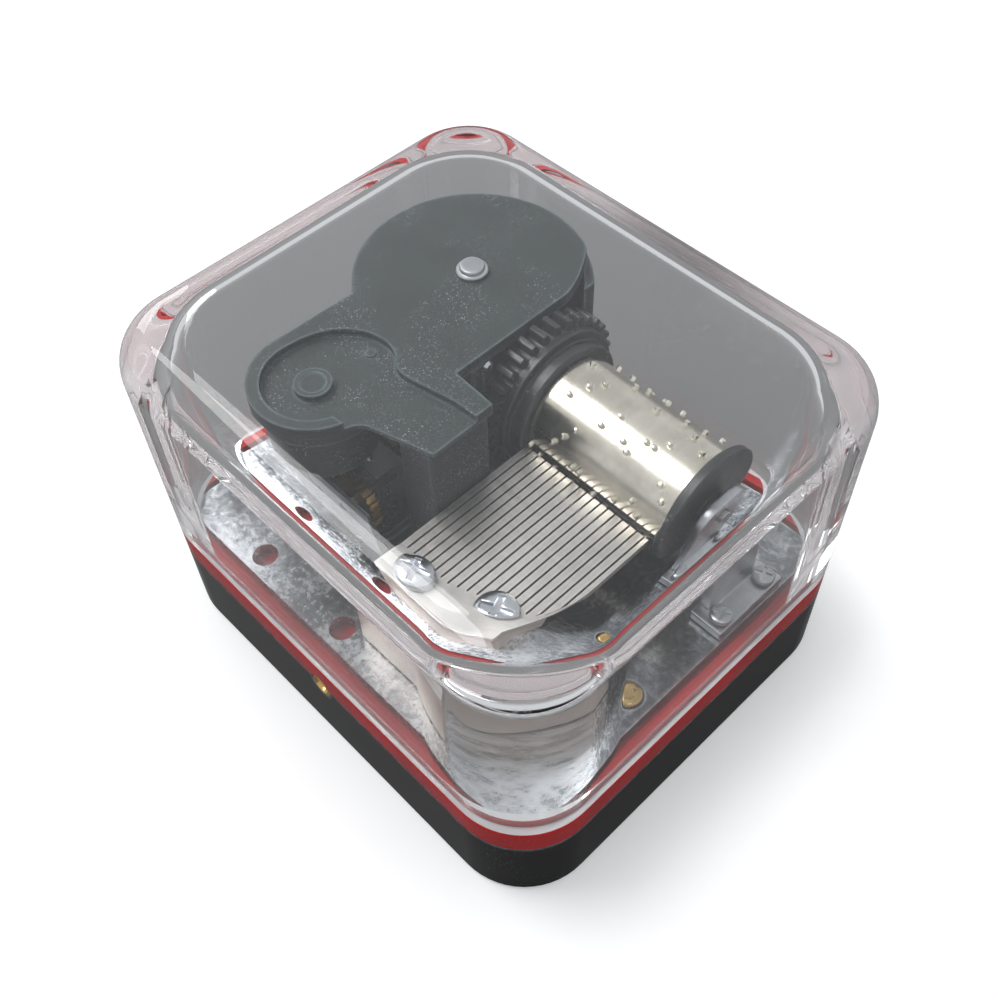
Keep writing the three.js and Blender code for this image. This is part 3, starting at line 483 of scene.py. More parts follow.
class Finish:
    """A material under way: its tree, its coordinates and its shader."""

    def __init__(self, name):
        self.material = bpy.data.materials.new(name)
        self.material.use_nodes = True
        self.tree = self.material.node_tree
        self.shader = self.tree.nodes["Principled BSDF"]
        self.place = add_node(self.tree, "TexCoord", {}, {}).outputs["Object"]

    def effect(self, name, **sockets):
        return effect(self.tree, name, {"Vector": self.place, **sockets})

    def give(self, **values):
        """Links or sets sockets of the shader."""
        for name, value in values.items():
            socket = self.shader.inputs[name.replace("_", " ")]
            if isinstance(value, bpy.types.NodeSocket):
                self.tree.links.new(value, socket)
            else:
                socket.default_value = value

    def bump(self, height, strength, distance=0.02):
        """Raises the surface by a height, over a distance in millimetres."""
        sockets = {"Height": height, "Strength": strength, "Distance": distance * MM}
        self.give(Normal=add_node(self.tree, "Bump", {}, sockets).outputs[0])


def shade(colour, factor):
    """A colour made lighter or darker."""
    return tuple(min(1.0, part * factor) for part in colour[:3]) + (1.0,)


def moulded_plastic(name, colour, roughness, grain, dust, wear_and_highlight, lift=3.0, gloss=0.5):
    """Moulded plastic with a fine skin, lightened edges and settled dust; the lightened edges are scuffing,
    and where lift is large a painted highlight.
    """
    look = Finish(name)
    skin = look.effect("grain", Scale=grain[0])
    specks = look.effect("dust", Scale=dust[0], Amount=dust[1])
    edges = look.effect("edge", Amount=wear_and_highlight)
    lines = look.effect("scratch", Scale=45.0, Amount=0.35)
    tree = look.tree
    mottle = remap(tree, skin.outputs["Mottle"], 0.3, 0.7)
    base = mix_colour(tree, mottle, shade(colour, 0.82), shade(colour, 1.15))
    # Edges lightened by lift: scuffing, and where lift is large a painted highlight along the rims.
    worn_and_lit = mix_colour(tree, edges.outputs[0], base, shade(colour, lift))
    dusty = mix_colour(tree, specks.outputs[0], worn_and_lit, (0.42, 0.43, 0.43, 1))
    matt = remap(tree, skin.outputs["Mottle"], 0.3, 0.7, roughness * 0.88, roughness * 1.15)
    matt = math_node(tree, "ADD", matt, math_node(tree, "MULTIPLY", lines.outputs[0], 0.25), True)
    look.give(Base_Color=dusty, Roughness=matt, IOR=1.5, Specular_IOR_Level=gloss)
    cut = math_node(tree, "MULTIPLY", lines.outputs[0], 0.4)
    height = math_node(tree, "SUBTRACT", skin.outputs["Height"], cut)
    look.bump(height, grain[1])
    return look.material


def plain_metal(name, colour, roughness, brush, tarnish, turn=(0.0, 0.0, 0.0)):
    """Metal with fine working lines, a slow bloom and small marks."""
    look = Finish(name)
    tree = look.tree
    lay = add_node(tree, "Mapping", {}, {"Vector": look.place, "Rotation": turn})
    lines = effect(tree, "brushed", {"Vector": lay.outputs[0], "Scale": brush[0]})
    bloom = look.effect("grain", Scale=900.0)
    marks = look.effect("scratch", Scale=55.0, Amount=0.5)
    edges = look.effect("edge", Amount=0.5)
    bloomed = mix_colour(tree, remap(tree, bloom.outputs["Mottle"], 0.35, 0.7), colour, tarnish)
    drawn = remap(tree, lines.outputs[0], 0.35, 0.7, 0.0, brush[1])
    lined = mix_colour(tree, drawn, bloomed, shade(tarnish, 0.75))
    bright = mix_colour(tree, edges.outputs[0], lined, shade(colour, 1.25))
    matt = remap(tree, lines.outputs[0], 0.3, 0.75, roughness * 0.8, roughness * 1.3)
    matt = math_node(tree, "ADD", matt, math_node(tree, "MULTIPLY", marks.outputs[0], 0.12), True)
    look.give(Base_Color=bright, Metallic=1.0, Roughness=matt)
    skin = math_node(tree, "MULTIPLY", bloom.outputs["Height"], 0.5)
    height = math_node(tree, "ADD", lines.outputs[0], skin)
    look.bump(height, brush[2], 0.01)
    return look.material


def patchy_steel(name, dark, bright):
    """Dark rolled steel, scuffed bright in patches and along its edges, with painted light making it lighter
    towards the front.
    """
    look = Finish(name)
    tree = look.tree
    skin = look.effect("grain", Scale=1500.0, Waviness=1.0)
    edges = look.effect("edge", Amount=0.9)
    marks = look.effect("scratch", Scale=50.0, Amount=0.6)
    specks = look.effect("dust", Scale=1000.0, Amount=0.5)
    # Painted light: the plate is made lighter towards the front, where the light falls on it.
    across = add_node(tree, "SeparateXYZ", {}, {0: look.place}).outputs["Y"]
    brightened = remap(tree, across, -0.004, -0.02, 0.0, 0.3)
    patches = remap(tree, math_node(tree, "ADD", skin.outputs["Height"], brightened), 0.95, 1.5)
    handled = math_node(tree, "MAXIMUM", edges.outputs[0], marks.outputs[0])
    worn_and_lit = math_node(tree, "MAXIMUM", patches, handled)
    base = mix_colour(tree, worn_and_lit, dark, bright)
    dusty = mix_colour(tree, specks.outputs[0], base, (0.6, 0.6, 0.6, 1))
    look.give(Base_Color=dusty, Metallic=1.0, Roughness=remap(tree, patches, 0.0, 1.0, 0.14, 0.34))
    look.bump(skin.outputs["Height"], 0.12, 0.02)
    return look.material


def clear_acrylic(name, tint, rim):
    """Clear moulded acrylic with faint hairlines and a matt rim; light passes straight through it."""
    look = Finish(name)
    tree = look.tree
    lines = look.effect("scratch", Scale=30.0, Amount=1.0)
    waves = look.effect("grain", Scale=220.0, Waviness=1.0)
    matt = remap(tree, lines.outputs[0], 0.0, 1.0, 0.012, 0.09)
    look.give(Base_Color=tint, Roughness=matt, IOR=1.49, Metallic=0.0, Transmission_Weight=1.0)
    look.bump(waves.outputs["Height"], 0.03, 0.02)
    through = add_node(tree, "BsdfTransparent", {}, {"Color": shade(tint, 0.97)})
    ray = add_node(tree, "LightPath", {}, {})
    both = add_node(tree, "MixShader", {}, {
        0: ray.outputs["Is Shadow Ray"], 1: look.shader.outputs[0], 2: through.outputs[0],
    })
    height = add_node(tree, "SeparateXYZ", {}, {0: look.place}).outputs["Z"]
    matt_rim = remap(tree, height, MM * rim, MM * (rim + 0.1), 0.78, 0.0)
    frosted = add_node(tree, "BsdfDiffuse", {}, {"Color": (0.72, 0.69, 0.70, 1)})
    ended = add_node(tree, "MixShader", {}, {0: matt_rim, 1: both.outputs[0], 2: frosted.outputs[0]})
    tree.links.new(ended.outputs[0], tree.nodes["Material Output"].inputs["Surface"])
    return look.material


def cast_metal(name, colour, roughness):
    """Die-cast metal with a soft sandy skin."""
    look = Finish(name)
    tree = look.tree
    skin = look.effect("grain", Scale=1800.0, Waviness=0.6)
    edges = look.effect("edge", Amount=0.7)
    specks = look.effect("dust", Scale=1100.0, Amount=0.3)
    mottle = remap(tree, skin.outputs["Mottle"], 0.3, 0.7)
    base = mix_colour(tree, mottle, shade(colour, 0.8), shade(colour, 1.12))
    brightened = mix_colour(tree, edges.outputs[0], base, shade(colour, 1.4))
    dusty = mix_colour(tree, specks.outputs[0], brightened, (0.55, 0.53, 0.5, 1))
    look.give(Base_Color=dusty, Metallic=0.85)
    look.give(Roughness=remap(tree, skin.outputs["Height"], 0.4, 0.8, roughness * 0.85, roughness * 1.2))
    look.bump(skin.outputs["Height"], 0.35, 0.03)
    return look.material


def studio_card(name, colour):
    """Pale, faintly uneven studio floor, darker where it is mirrored or seen through the cover: painted shade
    in its reflections.
    """
    look = Finish(name)
    uneven = look.effect("grain", Scale=40.0)
    mottle = remap(look.tree, uneven.outputs["Mottle"], 0.3, 0.7)
    card = mix_colour(look.tree, mottle, shade(colour, 0.99), colour)
    # Painted shade: glossy and diffuse rays see the floor at a fifth of its colour, so its reflections and
    # bounced light are dimmer.
    ray = add_node(look.tree, "LightPath", {}, {})
    mirrored = math_node(look.tree, "MAXIMUM", ray.outputs["Is Glossy Ray"], ray.outputs["Is Diffuse Ray"])
    card = mix_colour(look.tree, mirrored, card, shade(colour, 0.2))
    look.give(Base_Color=card, Roughness=0.75, Emission_Color=card, Emission_Strength=0.25)
    return look.material


# ---- Sizes and colours ----
def length(name, description, value):
    return FloatProperty(name=name, description=description, default=value * MM, unit="LENGTH", min=0.0)


def colour(name, description, value):
    return FloatVectorProperty(
        name=name, description=description, default=(*value, 1.0), size=4, subtype="COLOR", min=0.0, max=1.0,
    )


class CaseSizes(bpy.types.PropertyGroup):
    """Sizes of the base and the clear cover."""
    corner: length("Corner", "Radius of the case's upright corners", 8.3)
    cover_wall: length("Cover wall", "Thickness of the cover's sides", 2.5)
    cover_top: length("Cover top", "Thickness of the cover's top", 2.6)
    cover_edge: length("Cover edge", "Radius round the cover's top", 4.8)
    inner_corner: length("Inner corner", "Radius of the cover's inner upright corners", 10.6)
    inner_edge: length("Inner edge", "Radius round the cover's inner top", 3.0)
    skirt_wall: length("Skirt wall", "Thickness of the black skirt", 2.2)
    skirt_edge: length("Skirt edge", "Radius round the skirt's foot", 0.7)
    lip_wall: length("Lip wall", "Thickness of the deck's locating lip", 1.0)
    bush_radius: length("Bush radius", "Outer radius of the brass bush", 1.45)
    bush_bore: length("Bush bore", "Radius of the brass bush's bore", 0.95)


class MovementSizes(bpy.types.PropertyGroup):
    """Sizes of the movement's pieces."""
    pin_radius: length("Pin radius", "Radius of one pin on the cylinder", 0.33)
    pin_height: length("Pin height", "How far a pin stands from the cylinder", 0.5)
    cylinder_radius: length("Cylinder radius", "Radius of the pinned cylinder", 6.0)
    gear_teeth: IntProperty(name="Gear teeth", description="Teeth on the cylinder's gear", default=32, min=8)
    tines: IntProperty(name="Tines", description="Tines of the comb", default=18, min=2)
    tine_pitch: length("Tine pitch", "Distance from one tine to the next", 0.972)
    tine_slot: length("Tine slot", "Width of the slot between two tines", 0.2)
    panel_depth: length("Panel depth", "Depth of the panel sunk in the housing's roof", 0.9)


class FinishColours(bpy.types.PropertyGroup):
    """Colours of the finishes."""
    skirt: colour("Skirt", "Glossy black of the skirt", (0.004, 0.0043, 0.0046))
    deck: colour("Deck", "Glossy red of the deck", (0.46, 0.016, 0.018))
    cover: colour("Cover", "Tint of the clear cover", (0.985, 0.99, 0.992))
    housing: colour("Housing", "Matt dark plastic of the housing", (0.029, 0.038, 0.038))
    gear: colour("Gear", "Black plastic of the gear", (0.018, 0.020, 0.021))
    plate: colour("Bedplate", "Bright plating of the bedplate", (0.72, 0.74, 0.77))
    comb: colour("Comb", "Brushed steel of the comb", (0.72, 0.69, 0.65))
    cylinder: colour("Cylinder", "Nickel of the cylinder", (0.87, 0.82, 0.71))
    brass: colour("Brass", "Brass of the bush and wheels", (0.78, 0.53, 0.19))
    cast: colour("Comb block", "Cast metal under the comb", (0.78, 0.68, 0.60))


# ---- Base ----
class MUSICBOX_OT_base(bpy.types.Operator):
    """Build the black skirt, the red deck and the brass bush"""
    bl_idname = "musicbox.base"
    bl_label = "Base"

    def execute(self, context):
        case = context.scene.music_box_case
        looks = context.scene.music_box_colours
        # On the black skirt the lightened edges are a painted highlight along the rounded foot and the top
        # rim.
        black = moulded_plastic(
            "Gloss black", looks.skirt, roughness=0.1, grain=(700.0, 0.02), dust=(3500.0, 0.18),
            wear_and_highlight=0.9, lift=60.0, gloss=0.12,
        )
        red = moulded_plastic(
            "Gloss red", looks.deck, roughness=0.16, grain=(900.0, 0.05), dust=(3500.0, 0.2),
            wear_and_highlight=0.4, lift=1.5, gloss=0.12,
        )
        brass = plain_metal(
            "Turned brass", looks.brass, roughness=0.22, brush=(2500.0, 0.4, 0.1),
            tarnish=shade(looks.brass, 0.6),
        )
        steel = plain_metal(
            "Screw steel", (0.55, 0.55, 0.56, 1), roughness=0.35, brush=(1500.0, 0.4, 0.1),
            tarnish=(0.4, 0.4, 0.41, 1),
        )
        self.skirt(case, black)
        self.deck(case, red)
        self.bush(case, brass)
        dressed(steel, *[f"case_screw_{i}" for i in range(1, 5)])
        return {"FINISHED"}

    def skirt(self, case, black):
        (_, half_x), (_, half_y), (low, high) = span("base_skirt")
        corner, wall, edge = case.corner / MM, case.skirt_wall / MM, case.skirt_edge / MM
        skirt = rounded_block("skirt", half_x, half_y, (low, high), corner, 14)
        bevel_edges(skirt, rim_at(low), edge, 6)
        bevel_edges(skirt, rim_at(high), 0.18, 3)
        hollow = rounded_block("hollow", half_x - wall, half_y - wall, (low - 1, high + 1), corner - wall, 14)
        combined(skirt, hollow)
        lugs = []
        for i in range(1, 5):
            x, y, _ = middle(f"case_screw_{i}")
            foot = span(f"case_screw_{i}")[2][0] + 1.5
            lug = turned("lug", [(3.3, foot), (3.5, high - 0.05)], 40)
            lugs.append(drilled(moved(lug, (x, y, 0)), [(x, y)], 1.1, low, high + 1, 24))
        gathered(skirt, *lugs)
        self.bore(case, skirt)
        softened(skirt, 0.08, 2, 50)
        finished(smoothed(skirt), black, "base", "gloss_black", "base_skirt")

    def bore(self, case, piece):
        """Opens the seam for the bush."""
        y, height = span("brass_bush")[1], middle("brass_bush")[2]
        radius = case.bush_radius / MM + 0.04
        tool = turned("tool", [(radius, y[0] - 1), (radius, y[1] + 0.05)], 40)
        return combined(piece, along_y(tool, 0, height))

    def deck(self, case, red):
        (_, half_x), (_, half_y), (low, lip_top) = span("base_deck")
        corner = case.corner / MM
        ledge = span("clear_cover")[2][0] - 0.1
        inset = case.cover_wall / MM + 0.15
        floor = span("bedplate")[2][0] - 0.1
        well = inset + case.lip_wall / MM
        deck = rounded_block("deck", half_x, half_y, (low, ledge), corner, 14)
        bevel_edges(deck, rim_at(ledge), 0.2, 3)
        bevel_edges(deck, rim_at(low), 0.15, 3)
        lip = rounded_block("lip", half_x - inset, half_y - inset, (low + 1, lip_top), corner - inset, 14)
        combined(deck, lip, "UNION")
        opening = rounded_block("well", half_x - well, half_y - well, (floor, lip_top + 1), corner - well, 14)
        combined(deck, opening)
        x, y, _ = middle("winding_arbor")
        drilled(deck, [(x, y)], 1.9, low - 1, floor + 1)
        drilled(deck, [middle(f"deck_screw_{i}")[:2] for i in range(1, 4)], 1.55, low - 1, floor + 1)
        self.bore(case, deck)
        softened(deck, 0.12, 2, 50)
        finished(smoothed(deck), red, "base", "gloss_red", "base_deck")

    def bush(self, case, brass):
        y, height = span("brass_bush")[1], middle("brass_bush")[2]
        outer, bore = case.bush_radius / MM, case.bush_bore / MM
        front, back = y
        bush = turned("bush", [
            (bore + 0.12, front), (outer - 0.12, front), (outer, front + 0.12), (outer, back),
        ], 56)
        hole = turned("hole", [(bore + 0.2, front - 0.1), (bore, front + 0.25), (bore, back + 1)], 56)
        combined(bush, hole)
        finished(smoothed(along_y(bush, 0, height)), brass, "base", "brass", "brass_bush")


# ---- Cover ----
class MUSICBOX_OT_cover(bpy.types.Operator):
    """Build the clear lift-off cover"""
    bl_idname = "musicbox.cover"
    bl_label = "Cover"

    def execute(self, context):
        case = context.scene.music_box_case
        looks = context.scene.music_box_colours
        (_, half_x), (_, half_y), (low, high) = span("clear_cover")
        wall = case.cover_wall / MM
        corner, edge = case.corner / MM, case.cover_edge / MM
        cover = rounded_block("cover", half_x, half_y, (low, high), corner, 18)
        bevel_edges(cover, rim_at(high), edge, 14)
        lip_top = span("base_deck")[2][1]
        ceiling = high - case.cover_top / MM
        inset = wall + 0.02
        cavity = rounded_block(
            "cavity", half_x - wall, half_y - wall, (low - 1, lip_top + 0.5), corner - wall, 14,
        )
        room = rounded_block(
            "room", half_x - inset, half_y - inset, (lip_top, ceiling), case.inner_corner / MM, 22,
        )
        bevel_edges(room, rim_at(ceiling), case.inner_edge / MM, 12)
        combined(cavity, room, "UNION")
        combined(cover, cavity)
        bevel_edges(cover, rim_at(low), 0.3, 3)
        acrylic = clear_acrylic("Clear acrylic", looks.cover, low + 0.2)
        finished(smoothed(cover), acrylic, "cover", "clear_plastic", "clear_cover")
        return {"FINISHED"}


# ---- Bedplate ----
class MUSICBOX_OT_bedplate(bpy.types.Operator):
    """Build the plated bedplate and the brass screws that hold it"""
    bl_idname = "musicbox.bedplate"
    bl_label = "Bedplate"

    def execute(self, context):
        looks = context.scene.music_box_colours
        plain_metal(
            "Bright plating", looks.plate, roughness=0.24, brush=(350.0, 0.35, 0.05),
            tarnish=(0.46, 0.48, 0.52, 1),
        )
        rolled = patchy_steel("Rolled steel", (0.12, 0.13, 0.145, 1), looks.plate)
        brass = bpy.data.materials["Turned brass"]
        (_, half_x), (_, half_y), (low, high) = span("bedplate")
        plate = rounded_block("bedplate_finished", half_x, half_y, (low, high), 3.0, 8)
        x, y, _ = middle("barrel_drum")
        pocket = moved(turned("pocket", [(11.8, high - 0.6), (11.8, high + 1)], 96), (x, y, 0))
        combined(plate, pocket)
        drilled(plate, [(x, y)], 1.65, low - 1, high + 1)
        drilled(plate, [middle(f"deck_screw_{i}")[:2] for i in range(1, 4)], 1.6, low - 1, high + 1)
        drilled(plate, [(-14.0, -19.2), (-1.0, -19.2)], 1.4, low - 1, high + 1)
        softened(plate, 0.15, 3, 50)
        finished(smoothed(plate), rolled, "base", "zinc", "bedplate")
        for i in range(1, 4):
            self.deck_screw(i, brass)
        return {"FINISHED"}

    def deck_screw(self, i, brass):
        """Screw from below whose domed tip shows through the plate."""
        name = f"deck_screw_{i}"
        x, y, _ = middle(name)
        low, tip = span(name)[2]
        seat = low + 1.5
        profile = [
            (2.45, low), (2.7, low + 0.25), (2.7, seat), (1.5, seat), (1.5, tip - 0.35), (1.38, tip - 0.15),
            (1.1, tip), (0.75, tip), (0.6, tip - 0.15),
        ]
        screw = turned(f"{name}_finished", profile, 40)
        combined(screw, block("slot", (-3, 3), (-0.3, 0.3), (low - 1, low + 0.7)))
        smoothed(moved(screw, (x, y, 0)))
        finished(screw, brass, "base", "brass", name)


# ---- Barrel and winding ----
class MUSICBOX_OT_winding(bpy.types.Operator):
    """Build the winding key and the arbor's cap, and finish the barrel and ratchet"""
    bl_idname = "musicbox.winding"
    bl_label = "Barrel and winding"

    def execute(self, context):
        zinc = plain_metal(
            "Zinc", (0.62, 0.64, 0.66, 1), roughness=0.32, brush=(700.0, 0.3, 0.08),
            tarnish=(0.45, 0.46, 0.48, 1),
        )
        spring = plain_metal(
            "Spring steel", (0.2, 0.21, 0.24, 1), roughness=0.35, brush=(1200.0, 0.4, 0.1),
            tarnish=(0.12, 0.13, 0.16, 1),
        )
        steel = bpy.data.materials["Screw steel"]
        brass = bpy.data.materials["Turned brass"]
        dressed(zinc, "barrel_drum", "barrel_lid")
        dressed(spring, "mainspring")
        dressed(steel, "winding_arbor", "ratchet_wheel", "click_pawl", "click_pin")
        x, y, _ = middle("arbor_cap")
        low, _ = span("arbor_cap")[2]
        cap = turned("arbor_cap_finished", [
            (1.55, low), (1.7, low + 0.12), (1.7, low + 0.3), (1.6, low + 0.42), (1.38, low + 0.46),
            (1.35, low + 0.7), (1.25, low + 0.84), (1.05, low + 0.9), (0.4, low + 0.88),
        ], 56)
        finished(smoothed(moved(cap, (x, y, 0))), zinc, "winding", "zinc", "arbor_cap")
        self.key(brass)
        return {"FINISHED"}

    def key(self, brass):
        """Two-winged key on the arbor."""
        (left, right), _, (low, high) = span("winding_key")
        x, y, _ = middle("winding_key")
        wing, reach = 3.2, (right - left) / 2
        outline = arc(-(reach - wing), wing, wing, 270, 90, 20) + [(0, 1.6 * wing)]
        outline += arc(reach - wing, wing, wing, 90, -90, 20)
        key = traced("key", outline, -0.7, 0.7)
        for side in (-1, 1):
            eye = turned("eye", [(1.1, -2), (1.1, 2)], 32)
            combined(key, moved(eye, (side * (reach - wing), wing, 0)))
        moved(key, (0, 0, low), (math.pi / 2, 0, 0))
        combined(key, turned("hub", [(2.8, low + 0.9), (2.8, high)], 48), "UNION")
        combined(key, turned("socket", [(1.65, low + 2.3), (1.65, high + 1)], 48))
        softened(moved(key, (x, y, 0)), 0.25, 3, 40)
        finished(smoothed(key), brass, "winding", "brass", "winding_key")


# ---- Housing ----
BARREL_AXIS = middle("arbor_cap")[:2]
WORM_AXIS = middle("worm_shaft")[:2]
LOBE = (WORM_AXIS[0] - 0.2, WORM_AXIS[1] + 0.4, 6.8)
FLAT_X = -3.9
FLAT_WALL = 1.05
ROUND_WALL = (11.75, 12.8)
ROOF = 1.4
NOSE_RIGHT = 1.5
DOT = (-12.6, -4.6)
DOT_RADIUS = 0.6
ARBOR_BORE = 0.86


def roof_outline():
    """Outline of the housing's roof: nose, lobe over the governor, and disc over the barrel."""
    x, y = BARREL_AXIS
    points = [(NOSE_RIGHT, -1.2), (NOSE_RIGHT, -8.9), (-5.0, -10.8)]
    points += bow((-5.0, -10.8), (-6.4, -11.2), (-6.8, -12.6), 6)
    points += arc(*LOBE, -14, -176, 40)
    points += arc(x, y, 12.6, -121.3, -298, 56)
    points += bow(points[-1], (FLAT_X - 0.6, y + 7.6), (FLAT_X, y + 4.6), 8)
    return points + [(FLAT_X, -0.9)]


def panel_outline():
    """Outline of the panel sunk in the roof."""
    x, y, radius = LOBE
    points = [(NOSE_RIGHT + 1, -3.3), (NOSE_RIGHT + 1, -10.5), (-5.4, -12.6)]
    points += arc(x + 0.1, y - 0.1, radius - 1.4, -20, -180, 36)
    points += bow(points[-1], (-18.6, -5.4), (-14.4, -3.4))
    points += bow((-14.4, -3.4), (-11.2, -2.2), (-9.4, -4.0))
    points += bow((-9.4, -4.0), (-8.4, -4.9), (-6.8, -4.6))
    return points + [(-1.4, -3.5)]


class MUSICBOX_OT_housing(bpy.types.Operator):
    """Build the dark plastic housing over the barrel and the governor"""
    bl_idname = "musicbox.housing"
    bl_label = "Housing"

    def execute(self, context):
        looks = context.scene.music_box_colours
        sunk = context.scene.music_box_movement.panel_depth / MM
        # The housing's lightened edges are partly scuffing and partly a painted highlight along the roof's
        # rims.
        plastic = moulded_plastic(
            "Matt dark plastic", looks.housing, roughness=0.46, grain=(3200.0, 0.5), dust=(4500.0, 0.8),
            wear_and_highlight=1.0, lift=4.2, gloss=0.4,
        )
        low, top = span("movement_housing")[2]
        roof_low = top - ROOF
        roof = traced("housing", roof_outline(), roof_low, top)
        combined(roof, traced("panel", panel_outline(), top - sunk, top + 1))
        x, y, radius = LOBE
        lobe = turned("lobe", [(radius - 0.02, top - 2.5), (radius - 0.02, top - sunk - 0.1)], 80)
        combined(roof, moved(lobe, (x, y, 0)), "UNION")
        boss = turned("boss", [(1.95, roof_low), (1.95, top - 0.12), (1.4, top - 0.12), (1.3, top - 0.2)], 48)
        combined(roof, moved(boss, (WORM_AXIS[0] + 0.1, WORM_AXIS[1] - 0.1, 0)), "UNION")
        dot = turned("dot", [(DOT_RADIUS, roof_low), (DOT_RADIUS, top - sunk + 0.15)], 24)
        combined(roof, moved(dot, (*DOT, 0)), "UNION")
        drilled(roof, [BARREL_AXIS], 1.25, roof_low - 1, top + 1)
        softened(roof, 0.3, 4, 40)
        walls = [self.wall(low, roof_low), self.flat(low, roof_low), self.nose(low, roof_low)]
        gathered(roof, *walls, self.shroud(top), *self.ribs(low, roof_low))
        finished(smoothed(roof), plastic, "base", "black_plastic", "movement_housing")
        steel = bpy.data.materials["Screw steel"]
        dressed(steel, "housing_screw_1", "housing_screw_2", "housing_screw_3")
        dressed(bpy.data.materials["Bright plating"], "housing_rivet")
        return {"FINISHED"}

    def wall(self, low, roof_low):
        """Round wall about the barrel, open where the gear stands."""
        inner, outer = ROUND_WALL
        ring = turned("wall", [(outer, low), (outer, roof_low + 0.1)], 112)
        combined(ring, turned("inside", [(inner, low - 1), (inner, roof_low + 1)], 112))
        moved(ring, (*BARREL_AXIS, 0))
        combined(ring, block("side", (FLAT_X, 10), (-20, 40), (low - 1, roof_low + 2)))
        train = block("train", (-18.7, -3.9), (-3.95, 1.05), (low - 1, 23.7))
        return softened(combined(ring, train), 0.15, 2, 40)

    def flat(self, low, roof_low):
        """Flat wall beside the cylinder's gear, with the arbor's bearing."""
        y = BARREL_AXIS[1]
        wall = block("flat", (FLAT_X - FLAT_WALL, FLAT_X), (y - 8.5, y + 8.5), (low, roof_low + 0.1))
        combined(wall, block("window", (FLAT_X - 2.2, FLAT_X + 1), (y - 8.4, y + 8.4), (low - 1, 17.2)))
        height = middle("cylinder_arbor")[2]
        boss = along_x(turned("boss", [(1.8, -6.0), (1.8, FLAT_X - 0.5)], 40), y, height)
        gathered(wall, boss)
        combined(wall, along_x(turned("bearing", [(ARBOR_BORE, -8), (ARBOR_BORE, 0)], 32), y, height))
        return softened(wall, 0.12, 2, 40)

    def nose(self, low, roof_low):
        """Hollow post under the nose."""
        post = block("post", (FLAT_X, 0.8), (-8.9, -1.2), (low, roof_low + 0.1))
        pocket = block("pocket", (FLAT_X + FLAT_WALL, -0.25), (-7.85, -2.25), (low - 1, roof_low - 0.4))
        combined(post, pocket)
        return softened(post, 0.3, 3, 40)

    def shroud(self, top):
        """Round skirt under the lobe, about the fly."""
        outer = turned("shroud", [(5.9, 27.0), (5.9, top - 1.6)], 80)
        combined(outer, turned("bore", [(5.0, 26.0), (5.0, top - 2.5)], 80))
        return softened(moved(outer, (*WORM_AXIS, 0)), 0.15, 2, 40)

    def ribs(self, low, roof_low):
        """Side wall, fin and screw ears."""
        side = softened(block("side", (-20.0, -19.0), (-11.0, -0.6), (low, roof_low + 0.1)), 0.2, 2, 40)
        fin = softened(block("fin", (-23.0, -19.4), (-2.4, -1.4), (low, 30)), 0.2, 2, 40)
        ears = []
        for i in (2, 3):
            x, y, _ = middle(f"housing_screw_{i}")
            ears.append(moved(turned("ear", [(1.9, low), (1.9, low + 3.0), (1.7, low + 3.2)], 40), (x, y, 0)))
        return [side, fin, *ears]


# ---- Cylinder ----
TUBE_WALL = 0.45
GEAR_ROOT = 8.0
GEAR_OUTER = 9.2
GEAR_WIDTH = 2.2
BEATS = 60
TOP_BEAT = 15
TUNE = [
    [1, 31, 46], [12, 33, 41, 56], [6, 19, 38, 49], [16, 27, 34, 44], [6, 14, 25, 52], [23, 36, 47, 58],
    [10, 3, 29, 40], [20, 29, 8, 50], [4, 17, 43, 55], [6, 32, 45, 57], [12, 20, 35, 2], [6, 21, 39, 53],
    [18, 29, 42, 48], [10, 18, 37, 59], [16, 27, 0, 51], [12, 29, 9, 54], [5, 22, 34, 43], [24, 14, 38, 50],
]


def tooth_outline(teeth, root, outer, root_share, tip_share):
    """Outline of a straight-sided gear."""
    step = 2 * math.pi / teeth
    points = []
    for i in range(teeth):
        tip = ((outer, -tip_share), (outer, tip_share))
        for radius, share in ((root, -root_share), *tip, (root, root_share)):
            angle = (i + share / 2) * step
            points.append((radius * math.cos(angle), radius * math.sin(angle)))
    return points


